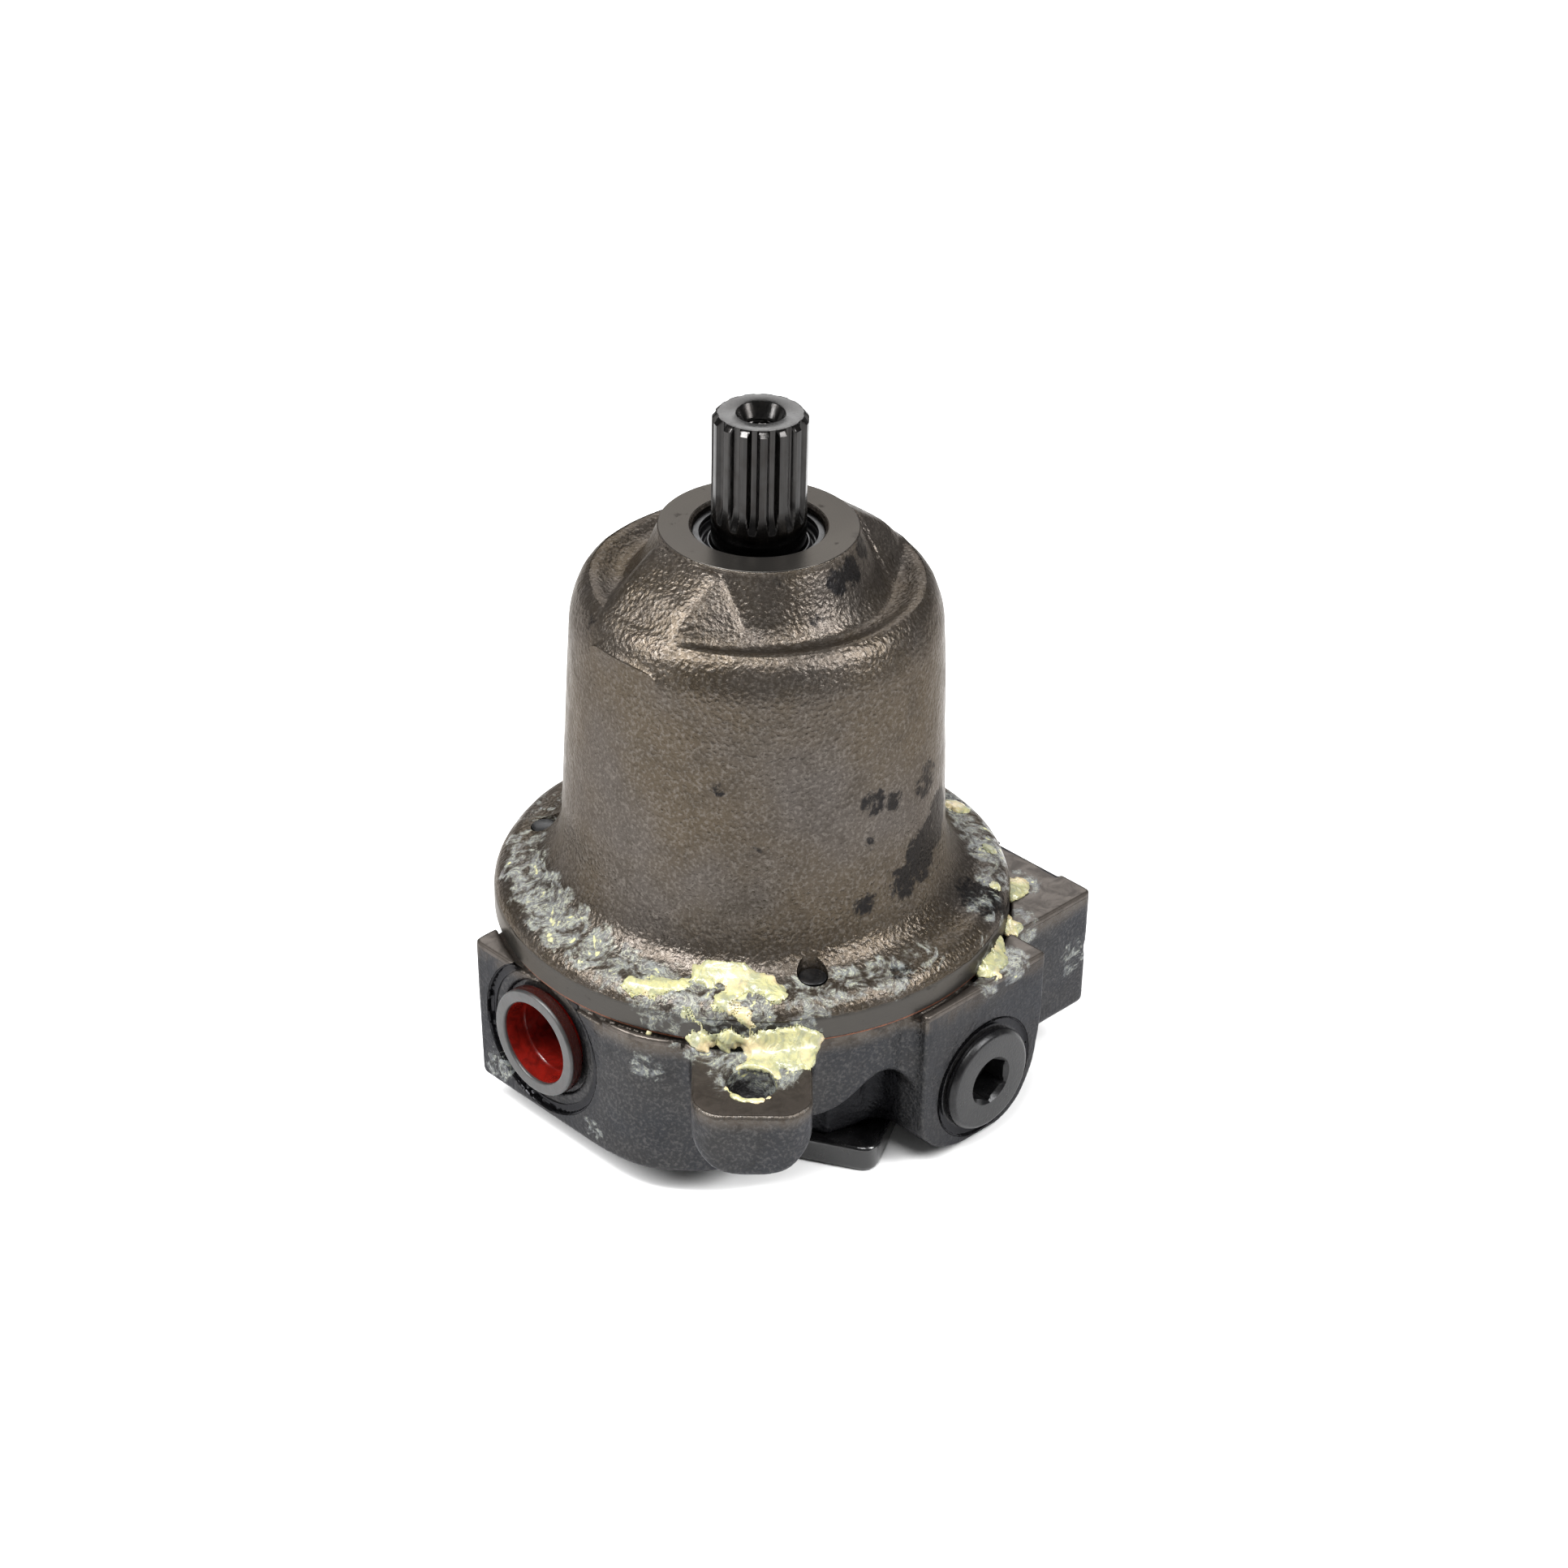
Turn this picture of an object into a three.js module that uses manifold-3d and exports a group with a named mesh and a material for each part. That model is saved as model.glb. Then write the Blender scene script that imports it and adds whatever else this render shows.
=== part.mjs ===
// Axial piston pump with a bell-shaped housing, in millimetres, +Z up.
// The origin is on the shaft's axis, in the resting face of the rear cover. The inlet port faces -X,
// the outlet port faces +X and the hexagon plug faces -Y. The swashplate tilts about an axis along X.
import * as THREE from "three";
import { mergeVertices } from "three/addons/utils/BufferGeometryUtils.js";
import Module from "manifold-3d";

const wasm = await Module();
wasm.setup();

// ---- driving dimensions -------------------------------------------------------------------------

const GAP = 0.3; // clearance between pieces that touch or run in each other
const BOUND = 400; // longer than the whole pump, for cutting tools

const COVER_TOP = 7.8; // rear cover's thickness, from its resting face at z = 0
const CAP_BOTTOM = 8; // underside of the end cap
const CAP_TOP = 50.9; // joint face of the end cap
const CAP_RADIUS = 68.5; // end cap's upper body
const CAP_WAIST_RADIUS = 56; // end cap's lower body, under the mounting face
const CAP_STEP = 26; // height of the step between the two

const GASKET_BOTTOM = 51.1;
const GASKET_TOP = 51.5;

const FLANGE_BOTTOM = 51.7;
const FLANGE_BAND_TOP = 57.8; // top of the turned band on the flange's rim
const FLANGE_TOP = 63.7;
const FLANGE_RADIUS = 71;
const BELL_RADIUS = 50.1; // outside of the bell, under the shoulder
const BELL_FOOT_RADIUS = 52.3; // outside of the bell, above the flange
const CAVITY_RADIUS = 44.5;
const ROOF = 124; // underside of the bell's roof
const SHOULDER_CREST = 152.2;
const GROOVE = 149.7; // bottom of the groove between the shoulder and the nose
const NOSE_FACE = 166.5;
const NOSE_RADIUS = 26.5;

const SEAL_RADIUS = 17.5; // bore of the nose
const SEAL_SEAT = 153.5; // bottom of the seal's bore
const FRONT_BEARING = { bottom: 129.75, top: 146, outer: 26, split: 21.5, inner: 12.8 };
const REAR_BEARING = { bottom: 16, top: 38, outer: 14, inner: 10.15 };

const SHAFT_TOP = 198.6;
const SPLINE_TEETH = 15;
const SPLINE_OUTER = 12.5;
const SPLINE_ROOT = 10.9;
const SPLINE_END = 170; // where the outside spline runs out
const SPLINE_TURN = 4.7; // degrees, how far a tooth stands from the front corner
const SHAFT_RADIUS = 12.5;
const SHAFT_THREAD_RADIUS = 4.2;

const PISTONS = 9;
const PITCH_RADIUS = 26; // circle of the cylinder bores
const TILT_HEIGHT = 104; // height of the swashplate's axis and of the piston balls
const BALL_RADIUS = 5;
const PISTON_RADIUS = 6.4;
const SHOE_FACE = 8.5; // running face of the slippers, above the ball centres
const SHOE_FLANGE_RADIUS = 8.4;
const SHOE_NECK_RADIUS = 6.2;
const CRADLE_RADIUS = 26; // curved back of the swashplate
const CRADLE_SHELL = 2.2; // thickness of a cradle bearing
const BLOCK_RADIUS = 36.5;
const BLOCK_TOP = 91;
const BLOCK_BOTTOM = 48.2;
const VALVE_PLATE = { bottom: 45, top: 48 };
const RECESS_FLOOR = 44.7; // floor of the recess that holds the valve plate
const CONTROL_RADIUS = 40.4; // distance of the control rod and bias rod from the shaft's axis
const CONTROL_BORE_RADIUS = 7.5;

const PORT_HEIGHT = 32;
const INLET = { y: 8.6, face: -70.5 };
const OUTLET = { y: -39.5, face: 71.6 };
const PORT_SPOTFACE_RADIUS = 21.8;
const PORT_SPOTFACE_DEPTH = 1.6;
const PORT_RADIUS = 13.6;
const PLUG_SEAT = { radius: 16.7, depth: 2 }; // lets a plug's ring sink below the sealing face
const HEX_PORT = { x: 16.7, z: 20.5, face: -74, spotface: 17.6, head: 15.06, across: 12 };

const PLUG_BOSS_LENGTH = 15;

const LUG_ANGLE = 226; // degrees, direction of the lug between the inlet and the hexagon plug
const LUG_TOP = 49.5;
const LUG_BOTTOM = 30.6;
const LUG_FRONT = 99.8;
const LUG_HALF_WIDTH = 16;
const LUG_HOLE_DISTANCE = 85.2;
const LUG_HOLE_RADIUS = 6.6;
const LUG_RELIEF = 0.5; // undercut of the lug's face, round the bell's flange

const BOLT_CIRCLE = 59.4;
const BOLT_ANGLES = [121.7, 241.2, 1.5];
const BOLT_RADIUS = 3.9;
const BOLT_HEAD = { radius: 6.5, bottom: 27, top: 35 }; // drawn up into the end cap from below

const COVER_CORNERS = [[-16.5, -65.6], [49, -29.3], [12.6, 36.3], [-52.9, 0]];
const COVER_ROUNDING = 8;
const COVER_SCREW = { inset: 0.3, head: 4.2, shank: 2.2, top: 15 }; // inset: share of the way inwards

const rad = THREE.MathUtils.degToRad;

// ---- materials ----------------------------------------------------------------------------------

function metal(color, roughness, metalness) {
  return new THREE.MeshStandardMaterial({ color, roughness, metalness });
}

const materials = {
  cast: metal(0x6f675e, 0.45, 0.7),
  capIron: metal(0x3b3b3d, 0.5, 0.7),
  steel: metal(0x77736f, 0.3, 1),
  black: metal(0x151517, 0.35, 0.4),
  bronze: metal(0xa9843f, 0.4, 1),
  rubber: metal(0x121212, 0.7, 0),
  gasket: metal(0x8a4a26, 0.8, 0),
  redPlug: metal(0x9a1a10, 0.45, 0),
};

// ---- geometry tools -----------------------------------------------------------------------------

// A closed geometry as a solid, with its faces turned outwards.
function solid(geometry) {
  const bare = geometry.index ? geometry.clone() : geometry;
  bare.deleteAttribute("normal");
  bare.deleteAttribute("uv");
  const merged = mergeVertices(bare, 1e-4);
  const index = merged.index.array;
  const triangles = [];
  for (let i = 0; i < index.length; i += 3) {
    const [a, b, c] = [index[i], index[i + 1], index[i + 2]];
    if (a !== b && b !== c && c !== a) triangles.push(a, b, c);
  }
  const vertProperties = new Float32Array(merged.attributes.position.array);
  if (signedVolume(vertProperties, triangles) < 0) triangles.reverse();
  return new wasm.Manifold(
    new wasm.Mesh({ numProp: 3, vertProperties, triVerts: new Uint32Array(triangles) }),
  );
}

function signedVolume(positions, triangles) {
  const [a, b, c] = [new THREE.Vector3(), new THREE.Vector3(), new THREE.Vector3()];
  let volume = 0;
  for (let i = 0; i < triangles.length; i += 3) {
    a.fromArray(positions, 3 * triangles[i]);
    b.fromArray(positions, 3 * triangles[i + 1]);
    c.fromArray(positions, 3 * triangles[i + 2]);
    volume += a.dot(b.cross(c));
  }
  return volume;
}

// A profile of [radius, height] points turned about the Z axis.
function turned(profile, segments = 32) {
  const points = profile.map(([radius, height]) => new THREE.Vector2(radius, height));
  return new THREE.LatheGeometry(points, segments).rotateX(Math.PI / 2);
}

// The same for a ring, whose profile closes on itself.
function ring(profile, segments = 32) {
  return turned([...profile, profile[0]], segments);
}

function disc(radius, bottom, top, segments = 32) {
  return turned([[0, bottom], [radius, bottom], [radius, top], [0, top]], segments);
}

function tube(inner, outer, bottom, top, segments = 32) {
  return ring([[inner, bottom], [outer, bottom], [outer, top], [inner, top]], segments);
}

function prism(shape, bottom, top, curveSegments = 8) {
  const geometry = new THREE.ExtrudeGeometry(shape, {
    depth: top - bottom,
    bevelEnabled: false,
    curveSegments,
  });
  return geometry.translate(0, 0, bottom);
}

function polygon(points) {
  return new THREE.Shape(points.map(([x, y]) => new THREE.Vector2(x, y)));
}

// A polygon whose corners are rounded; each point is [x, y, corner radius].
function roundedPolygon(points) {
  const shape = new THREE.Shape();
  points.forEach(([x, y, radius], i) => {
    const corner = new THREE.Vector2(x, y);
    const [beforeX, beforeY] = points[(i + points.length - 1) % points.length];
    const [afterX, afterY] = points[(i + 1) % points.length];
    const back = new THREE.Vector2(beforeX, beforeY).sub(corner).setLength(radius).add(corner);
    const on = new THREE.Vector2(afterX, afterY).sub(corner).setLength(radius).add(corner);
    if (i === 0) shape.moveTo(back.x, back.y);
    else shape.lineTo(back.x, back.y);
    if (radius > 0) shape.quadraticCurveTo(x, y, on.x, on.y);
  });
  shape.closePath();
  return shape;
}

function hexagon(across) {
  const corner = across / Math.sqrt(3);
  const points = [];
  for (let i = 0; i < 6; i += 1) {
    const angle = rad(60 * i + 30);
    points.push([corner * Math.cos(angle), corner * Math.sin(angle)]);
  }
  return polygon(points);
}

function box(low, high) {
  const size = high.map((value, axis) => value - low[axis]);
  const centre = high.map((value, axis) => (value + low[axis]) / 2);
  return new THREE.BoxGeometry(...size).translate(...centre);
}

// A helical spring as one closed tube with flat-cut ends.
function coil(radius, wireRadius, bottom, top, turns) {
  const stepsPerTurn = 8;
  const steps = turns * stepsPerTurn;
  const points = [];
  for (let i = 0; i <= steps; i += 1) {
    const angle = (2 * Math.PI * i) / stepsPerTurn;
    const height = bottom + wireRadius + ((top - bottom - 2 * wireRadius) * i) / steps;
    points.push(new THREE.Vector3(radius * Math.cos(angle), radius * Math.sin(angle), height));
  }
  const section = new THREE.Shape().absarc(0, 0, wireRadius, 0, 2 * Math.PI);
  return new THREE.ExtrudeGeometry(section, {
    steps,
    curveSegments: 3,
    bevelEnabled: false,
    extrudePath: new THREE.CatmullRomCurve3(points),
  });
}

// Joins and cuts: the first solid, with every one in `added` joined and every one in `removed` cut.
function combine(base, { added = [], removed = [] }) {
  let result = solid(base);
  for (const geometry of added) result = result.add(solid(geometry));
  for (const geometry of removed) result = result.subtract(solid(geometry));
  return geometryOf(result);
}

function geometryOf(manifold) {
  const mesh = manifold.getMesh();
  const geometry = new THREE.BufferGeometry();
  geometry.setAttribute("position", new THREE.BufferAttribute(mesh.vertProperties, mesh.numProp));
  geometry.setIndex(new THREE.BufferAttribute(mesh.triVerts, 1));
  geometry.computeVertexNormals();
  return geometry;
}

// Turns a piece made along +Z so that it lies along -X, +X or -Y, and moves it to its place.
function facing(geometry, direction, position) {
  const turn = new THREE.Quaternion().setFromUnitVectors(new THREE.Vector3(0, 0, 1), direction);
  return geometry.applyQuaternion(turn).translate(...position);
}

const LEFT = new THREE.Vector3(-1, 0, 0);
const RIGHT = new THREE.Vector3(1, 0, 0);
const FRONT = new THREE.Vector3(0, -1, 0);

const pump = new THREE.Group();

function part(name, geometry, material, parent = pump) {
  const mesh = new THREE.Mesh(geometryOf(solid(geometry)), material);
  mesh.name = name;
  parent.add(mesh);
  return mesh;
}

function polar(radius, degrees) {
  return [radius * Math.cos(rad(degrees)), radius * Math.sin(rad(degrees))];
}

// ---- bell housing -------------------------------------------------------------------------------

const BELL_PROFILE = [
  [CAVITY_RADIUS, FLANGE_BOTTOM],
  [FLANGE_RADIUS, FLANGE_BOTTOM],
  [FLANGE_RADIUS, FLANGE_BAND_TOP],
  [70, 60.5],
  [67.4, 62.5],
  [61, FLANGE_TOP],
  [55.6, 67],
  [BELL_FOOT_RADIUS, 76],
  [BELL_RADIUS, 130],
  [49.3, 142.5],
  [46.5, SHOULDER_CREST - 2.2],
  [43.4, SHOULDER_CREST],
  [38, GROOVE],
  [35, GROOVE - 0.2],
  [32.5, GROOVE + 2.5],
  [30, 157],
  [NOSE_RADIUS, 165.6],
  [NOSE_RADIUS, NOSE_FACE],
  [SEAL_RADIUS, NOSE_FACE],
  [SEAL_RADIUS, SEAL_SEAT],
  [15, SEAL_SEAT],
  [15, FRONT_BEARING.top + GAP],
  [FRONT_BEARING.outer + 0.1, FRONT_BEARING.top + GAP],
  [FRONT_BEARING.outer + 0.1, ROOF],
  [CAVITY_RADIUS, ROOF],
];

// Two opposed buttresses carry the cradle's load from the roof into the shoulder.
function buttress(side) {
  const halfWidth = 12.2;
  const outline = polygon([
    [20, 165], [26.3, 165.4], [30.5, 163], [36.5, 159.2], [40.5, 155], [44, 151.5], [47, 146], [20, 145],
  ]);
  const slab = prism(outline, -halfWidth, halfWidth).rotateX(Math.PI / 2);
  return side < 0 ? slab.rotateZ(Math.PI) : slab;
}

function makeBell() {
  const saddleRadius = CRADLE_RADIUS + CRADLE_SHELL + 2 * GAP;
  const saddle = disc(saddleRadius, -40, 40, 40).rotateY(Math.PI / 2).translate(0, 0, TILT_HEIGHT);
  const bearingRoom = disc(FRONT_BEARING.outer + 0.1, 110, FRONT_BEARING.top + GAP, 48);
  const shaftRoom = disc(15, 140, 160, 48);
  const boltHoles = BOLT_ANGLES.map((angle) =>
    disc(BOLT_RADIUS + 0.2, 40, 80, 12).translate(...polar(BOLT_CIRCLE, angle), 0));
  const tab = prism(polygon([[60, -4], [72.2, -4], [72.2, 4], [60, 4]]), 53, 59.5).rotateZ(rad(128.5));
  const bell = combine(ring(BELL_PROFILE, 48), {
    added: [buttress(1), buttress(-1), tab],
    removed: [saddle, shaftRoom, bearingRoom, ...boltHoles],
  });
  part("bell_housing", bell, materials.cast);
}

// ---- end cap and what is fixed to it ------------------------------------------------------------

function lug(angle) {
  const chamfer = 5.5;
  const outline = polygon([
    [40, -LUG_HALF_WIDTH],
    [LUG_FRONT - chamfer, -LUG_HALF_WIDTH],
    [LUG_FRONT, -LUG_HALF_WIDTH + chamfer],
    [LUG_FRONT, LUG_HALF_WIDTH - chamfer],
    [LUG_FRONT - chamfer, LUG_HALF_WIDTH],
    [40, LUG_HALF_WIDTH],
  ]);
  const relief = disc(FLANGE_RADIUS + 0.5, LUG_TOP - LUG_RELIEF, LUG_TOP + 1, 48);
  return combine(prism(outline, LUG_BOTTOM, LUG_TOP).rotateZ(rad(angle)), { removed: [relief] });
}

function lugHole(angle) {
  const [x, y] = polar(LUG_HOLE_DISTANCE, angle);
  return disc(LUG_HOLE_RADIUS, LUG_BOTTOM - 10, LUG_TOP + 10, 24).translate(x, y, 0);
}

function capBodies() {
  const inletBody = roundedPolygon([
    [INLET.face, -18, 6], [-67, -32, 6], [-54, -45, 6], [-20, -50, 0],
    [-20, 56, 0], [-48, 50, 4], [-58.5, 42, 2], [INLET.face, 36.4, 3],
  ]);
  const outletBody = roundedPolygon([
    [20, -50, 0], [43, -62, 1], [OUTLET.face, -62, 2], [OUTLET.face, -16, 3], [60, 0, 3], [20, 10, 0],
  ]);
  const plugBoss = roundedPolygon([[-7, -51, 1], [39.2, -51, 1], [38.4, -2, 22], [-7, -2, 17]]);
  return [
    prism(inletBody, CAP_BOTTOM, CAP_TOP),
    prism(outletBody, 13.5, CAP_TOP),
    // its outline is drawn lying down, and is stood up to run back from the plug's face
    prism(plugBoss, 0, PLUG_BOSS_LENGTH).rotateX(-Math.PI / 2).translate(0, HEX_PORT.face, 0),
    box([-7, -60, CAP_BOTTOM], [39.4, -40, CAP_TOP]),
    lug(LUG_ANGLE),
    lug(LUG_ANGLE - 180),
  ];
}

function capCuts() {
  const portBore = () => disc(PORT_RADIUS, -19, 30, 24);
  const spotface = () => disc(PORT_SPOTFACE_RADIUS, -PORT_SPOTFACE_DEPTH, 30, 32);
  const plugSeat = () => disc(PLUG_SEAT.radius, -PLUG_SEAT.depth, 30, 24);
  const inlet = [INLET.face, INLET.y, PORT_HEIGHT];
  const outlet = [OUTLET.face, OUTLET.y, PORT_HEIGHT];
  const hexPort = [HEX_PORT.x, HEX_PORT.face, HEX_PORT.z];
  return [
    facing(portBore(), LEFT, inlet),
    facing(spotface(), LEFT, inlet),
    facing(plugSeat(), LEFT, inlet),
    facing(disc(9, -50, 0, 16), LEFT, inlet),
    facing(portBore(), RIGHT, outlet),
    facing(spotface(), RIGHT, outlet),
    facing(plugSeat(), RIGHT, outlet),
    facing(disc(9, -36, 0, 16), RIGHT, outlet),
    facing(disc(HEX_PORT.spotface, -1, 30, 40), FRONT, hexPort),
    facing(disc(10.4, -15, 30, 24), FRONT, hexPort),
    facing(disc(4, -22, 0, 12), FRONT, hexPort),
    disc(BLOCK_RADIUS + 1, RECESS_FLOOR, BOUND, 40),
    disc(REAR_BEARING.outer + 0.1, REAR_BEARING.bottom - GAP, BOUND, 24),
    passage(-1),
    passage(1),
    disc(CONTROL_BORE_RADIUS, 11, BOUND, 16).translate(0, CONTROL_RADIUS, 0),
    disc(CONTROL_BORE_RADIUS, 11, BOUND, 16).translate(0, -CONTROL_RADIUS, 0),
    lugHole(LUG_ANGLE),
    lugHole(LUG_ANGLE - 180),
    ...BOLT_ANGLES.map((angle) => boltRoom(angle)),
    ...coverScrewPlaces().map(([x, y]) =>
      disc(COVER_SCREW.shank + GAP, 0, COVER_SCREW.top + 0.5, 10).translate(x, y, 0)),
  ];
}

// Cast passage from a port up to its kidney in the valve plate.
function passage(side) {
  const [low, high] = side < 0 ? [INLET.y - 12, INLET.y + 6] : [OUTLET.y - 4, 8];
  return box([side * PITCH_RADIUS - 5, low, 26], [side * PITCH_RADIUS + 5, high, RECESS_FLOOR + 1]);
}

function boltRoom(angle) {
  const seat = BOLT_HEAD.top + GAP;
  const profile = [
    [0, 0], [BOLT_HEAD.radius + 1, 0], [BOLT_HEAD.radius + 1, seat],
    [BOLT_RADIUS + 0.4, seat], [BOLT_RADIUS + 0.4, 80], [0, 80],
  ];
  return turned(profile, 16).translate(...polar(BOLT_CIRCLE, angle), 0);
}

function makeEndCap() {
  const core = turned([
    [0, CAP_BOTTOM], [CAP_WAIST_RADIUS, CAP_BOTTOM], [CAP_WAIST_RADIUS, CAP_STEP - 5],
    [CAP_RADIUS, CAP_STEP], [CAP_RADIUS, CAP_TOP], [0, CAP_TOP],
  ], 48);
  part("end_cap", combine(core, { added: capBodies(), removed: capCuts() }), materials.capIron);
}

function makeGasket() {
  const holes = BOLT_ANGLES.map((angle) =>
    disc(BOLT_RADIUS + 0.4, 40, 60, 12).translate(...polar(BOLT_CIRCLE, angle), 0));
  const sheet = tube(48.5, FLANGE_RADIUS - 0.6, GASKET_BOTTOM, GASKET_TOP, 48);
  part("cover_gasket", combine(sheet, { removed: holes }), materials.gasket);
}

function makeFlangeBolts() {
  const { radius, bottom, top } = BOLT_HEAD;
  BOLT_ANGLES.forEach((angle, i) => {
    const body = turned([
      [0, bottom], [radius, bottom], [radius, top], [BOLT_RADIUS, top],
      [BOLT_RADIUS, FLANGE_TOP], [0, FLANGE_TOP],
    ], 12);
    const socket = prism(hexagon(6), bottom - 1, bottom + 4);
    const bolt = combine(body, { removed: [socket] }).translate(...polar(BOLT_CIRCLE, angle), 0);
    part(`flange_bolt_${i + 1}`, bolt, materials.black);
  });
}

function makeRearCover() {
  const { head, shank, top } = COVER_SCREW;
  const outline = roundedPolygon(COVER_CORNERS.map(([x, y]) => [x, y, COVER_ROUNDING]));
  const screws = coverScrewPlaces();
  const holes = screws.map(([x, y]) => turned([
    [0, -1], [head + 0.4, -1], [head + 0.4, 4.3], [shank + GAP, 4.3], [shank + GAP, 10], [0, 10],
  ], 10).translate(x, y, 0));
  part("rear_cover", combine(prism(outline, 0, COVER_TOP, 5), { removed: holes }), materials.black);
  screws.forEach(([x, y], i) => {
    const body = turned([[0, 0.4], [head, 0.4], [head, 4], [shank, 4], [shank, top], [0, top]], 10);
    const socket = prism(hexagon(3.4), -1, 2.6);
    const screw = combine(body, { removed: [socket] }).translate(x, y, 0);
    part(`cover_screw_${i + 1}`, screw, materials.steel);
  });
}

// Each cover screw stands a little inside its corner.
function coverScrewPlaces() {
  const centre = [0, 1].map((axis) => COVER_CORNERS.reduce((sum, corner) => sum + corner[axis], 0) / 4);
  return COVER_CORNERS.map((corner) => corner.map(
    (value, axis) => value + COVER_SCREW.inset * (centre[axis] - value),
  ));
}

// A moulded cup that closes a port: a ring in front of the spotface and a blind cup in the bore.
function makePortPlug(name, direction, position) {
  const ringRadius = 15.5;
  const cup = turned([
    [0, -17], [11, -17], [13, -14], [13.2, -1.4], [ringRadius, -1.4], [ringRadius, 2.2],
    [ringRadius - 0.4, 2.6], [12, 2.6], [11.7, -4], [11.4, -4.4], [11.2, -14.5], [0, -14.5],
  ], 24);
  part(name, facing(cup, direction, position), materials.redPlug);
}

function makeHexPlug() {
  const { head, across, face, x, z } = HEX_PORT;
  const body = turned([
    [0, -14], [10, -14], [10, 0.4], [head, 0.4], [head, 1.3], [head - 0.9, 2.5], [0, 2.5],
  ], 40);
  const socket = prism(hexagon(across), -6, 5);
  const plug = combine(body, { removed: [socket] });
  part("hex_plug", facing(plug, FRONT, [x, face, z]), materials.black);
  const seal = tube(10.4, 14.2, -0.9, 0.3, 24);
  part("hex_plug_seal", facing(seal, FRONT, [x, face, z]), materials.rubber);
}

function makeValvePlate() {
  const plate = disc(BLOCK_RADIUS - 0.5, VALVE_PLATE.bottom, VALVE_PLATE.top, 32);
  const slots = [0, 180].map((turn) => kidney(6, 60).rotateZ(rad(turn)));
  const bore = disc(REAR_BEARING.outer + 0.6, 40, 60, 24);
  const pinHole = disc(2.3, 40, 60, 8).translate(0, 32, 0);
  const valvePlate = combine(plate, { removed: [bore, pinHole, ...slots] });
  part("valve_plate", valvePlate, materials.bronze);
}

// An arc-shaped slot on the pitch circle, `reach` degrees to either side of the X axis.
function kidney(width, reach) {
  const shape = new THREE.Shape();
  shape.absarc(0, 0, PITCH_RADIUS + width / 2, -rad(reach), rad(reach), false);
  shape.absarc(0, 0, PITCH_RADIUS - width / 2, rad(reach), -rad(reach), true);
  shape.closePath();
  return prism(shape, 40, 60, 5);
}

function makeSealAndBearings() {
  const seal = ring([
    [12.75, 156], [SEAL_RADIUS - 0.1, 156], [SEAL_RADIUS - 0.1, 163],
    [15, 163], [14.6, 160], [13.4, 162.4], [12.75, 161.6],
  ], 30);
  part("shaft_seal", seal, materials.rubber);
  part("seal_snap_ring", tube(15.4, SEAL_RADIUS - 0.1, 163.2, 164.4, 30), materials.steel);
  const { bottom, top, outer, split, inner } = FRONT_BEARING;
  const cup = ring([
    [split + 2.4, bottom], [outer, bottom], [outer, top], [split, top], [split - 0.6, top - 2],
  ], 30);
  part("front_bearing_cup", cup, materials.steel);
  part("rear_bearing", tube(REAR_BEARING.inner, REAR_BEARING.outer, REAR_BEARING.bottom,
    REAR_BEARING.top, 24), materials.steel);
  const cone = ring([
    [inner, bottom], [split + 1.9, bottom + 0.4], [split - 1.1, top - 2.6], [inner, top],
  ], 24);
  part("front_bearing_cone", cone, materials.steel);
}

function makeCradleBearings() {
  const reach = rad(36);
  const low = CRADLE_RADIUS + GAP;
  const shape = new THREE.Shape();
  shape.absarc(0, 0, low + CRADLE_SHELL, Math.PI / 2 - reach, Math.PI / 2 + reach, false);
  shape.absarc(0, 0, low, Math.PI / 2 + reach, Math.PI / 2 - reach, true);
  shape.closePath();
  for (const [name, x] of [["cradle_bearing_inlet_side", -37.5], ["cradle_bearing_outlet_side", 27]]) {
    const shell = prism(shape, 0, 10.5, 12).rotateX(Math.PI / 2).rotateZ(Math.PI / 2);
    part(name, shell.translate(x, 0, TILT_HEIGHT), materials.bronze);
  }
}

// ---- rotating group -----------------------------------------------------------------------------

// Outline of the splined end: a flat-topped tooth on every step of the circle.
function splineOutline() {
  const points = [];
  const step = 360 / SPLINE_TEETH;
  for (let tooth = 0; tooth < SPLINE_TEETH; tooth += 1) {
    const middle = tooth * step - 135 + SPLINE_TURN;
    points.push(polar(SPLINE_ROOT, middle - 0.34 * step));
    points.push(polar(SPLINE_OUTER, middle - 0.19 * step));
    points.push(polar(SPLINE_OUTER, middle + 0.19 * step));
    points.push(polar(SPLINE_ROOT, middle + 0.34 * step));
  }
  return polygon(points);
}

function makeShaft() {
  const spline = solid(prism(splineOutline(), SPLINE_END, SHAFT_TOP));
  const blank = solid(turned([
    [0, SPLINE_END - 1], [SHAFT_RADIUS, SPLINE_END - 1], [SHAFT_RADIUS, SHAFT_TOP - 1.4],
    [SHAFT_RADIUS - 1.3, SHAFT_TOP], [0, SHAFT_TOP],
  ], 60));
  const body = solid(turned([
    [0, 17], [8.5, 17], [10, 18.5], [10, 42], [11.4, 42], [11.4, 120], [15.5, 126], [15.5, 129.5],
    [SHAFT_RADIUS, 129.5], [SHAFT_RADIUS, SPLINE_END - 2], [SPLINE_ROOT, SPLINE_END + 3],
    [0, SPLINE_END + 3],
  ], 30));
  const centre = solid(turned([
    [0, SHAFT_TOP - 22], [SHAFT_THREAD_RADIUS, SHAFT_TOP - 20], [SHAFT_THREAD_RADIUS, SHAFT_TOP - 4],
    [6.4, SHAFT_TOP], [6.4, SHAFT_TOP + 5], [0, SHAFT_TOP + 5],
  ], 24));
  const shaft = spline.intersect(blank).add(body).subtract(centre);
  part("drive_shaft", geometryOf(shaft), materials.steel);
}

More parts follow.
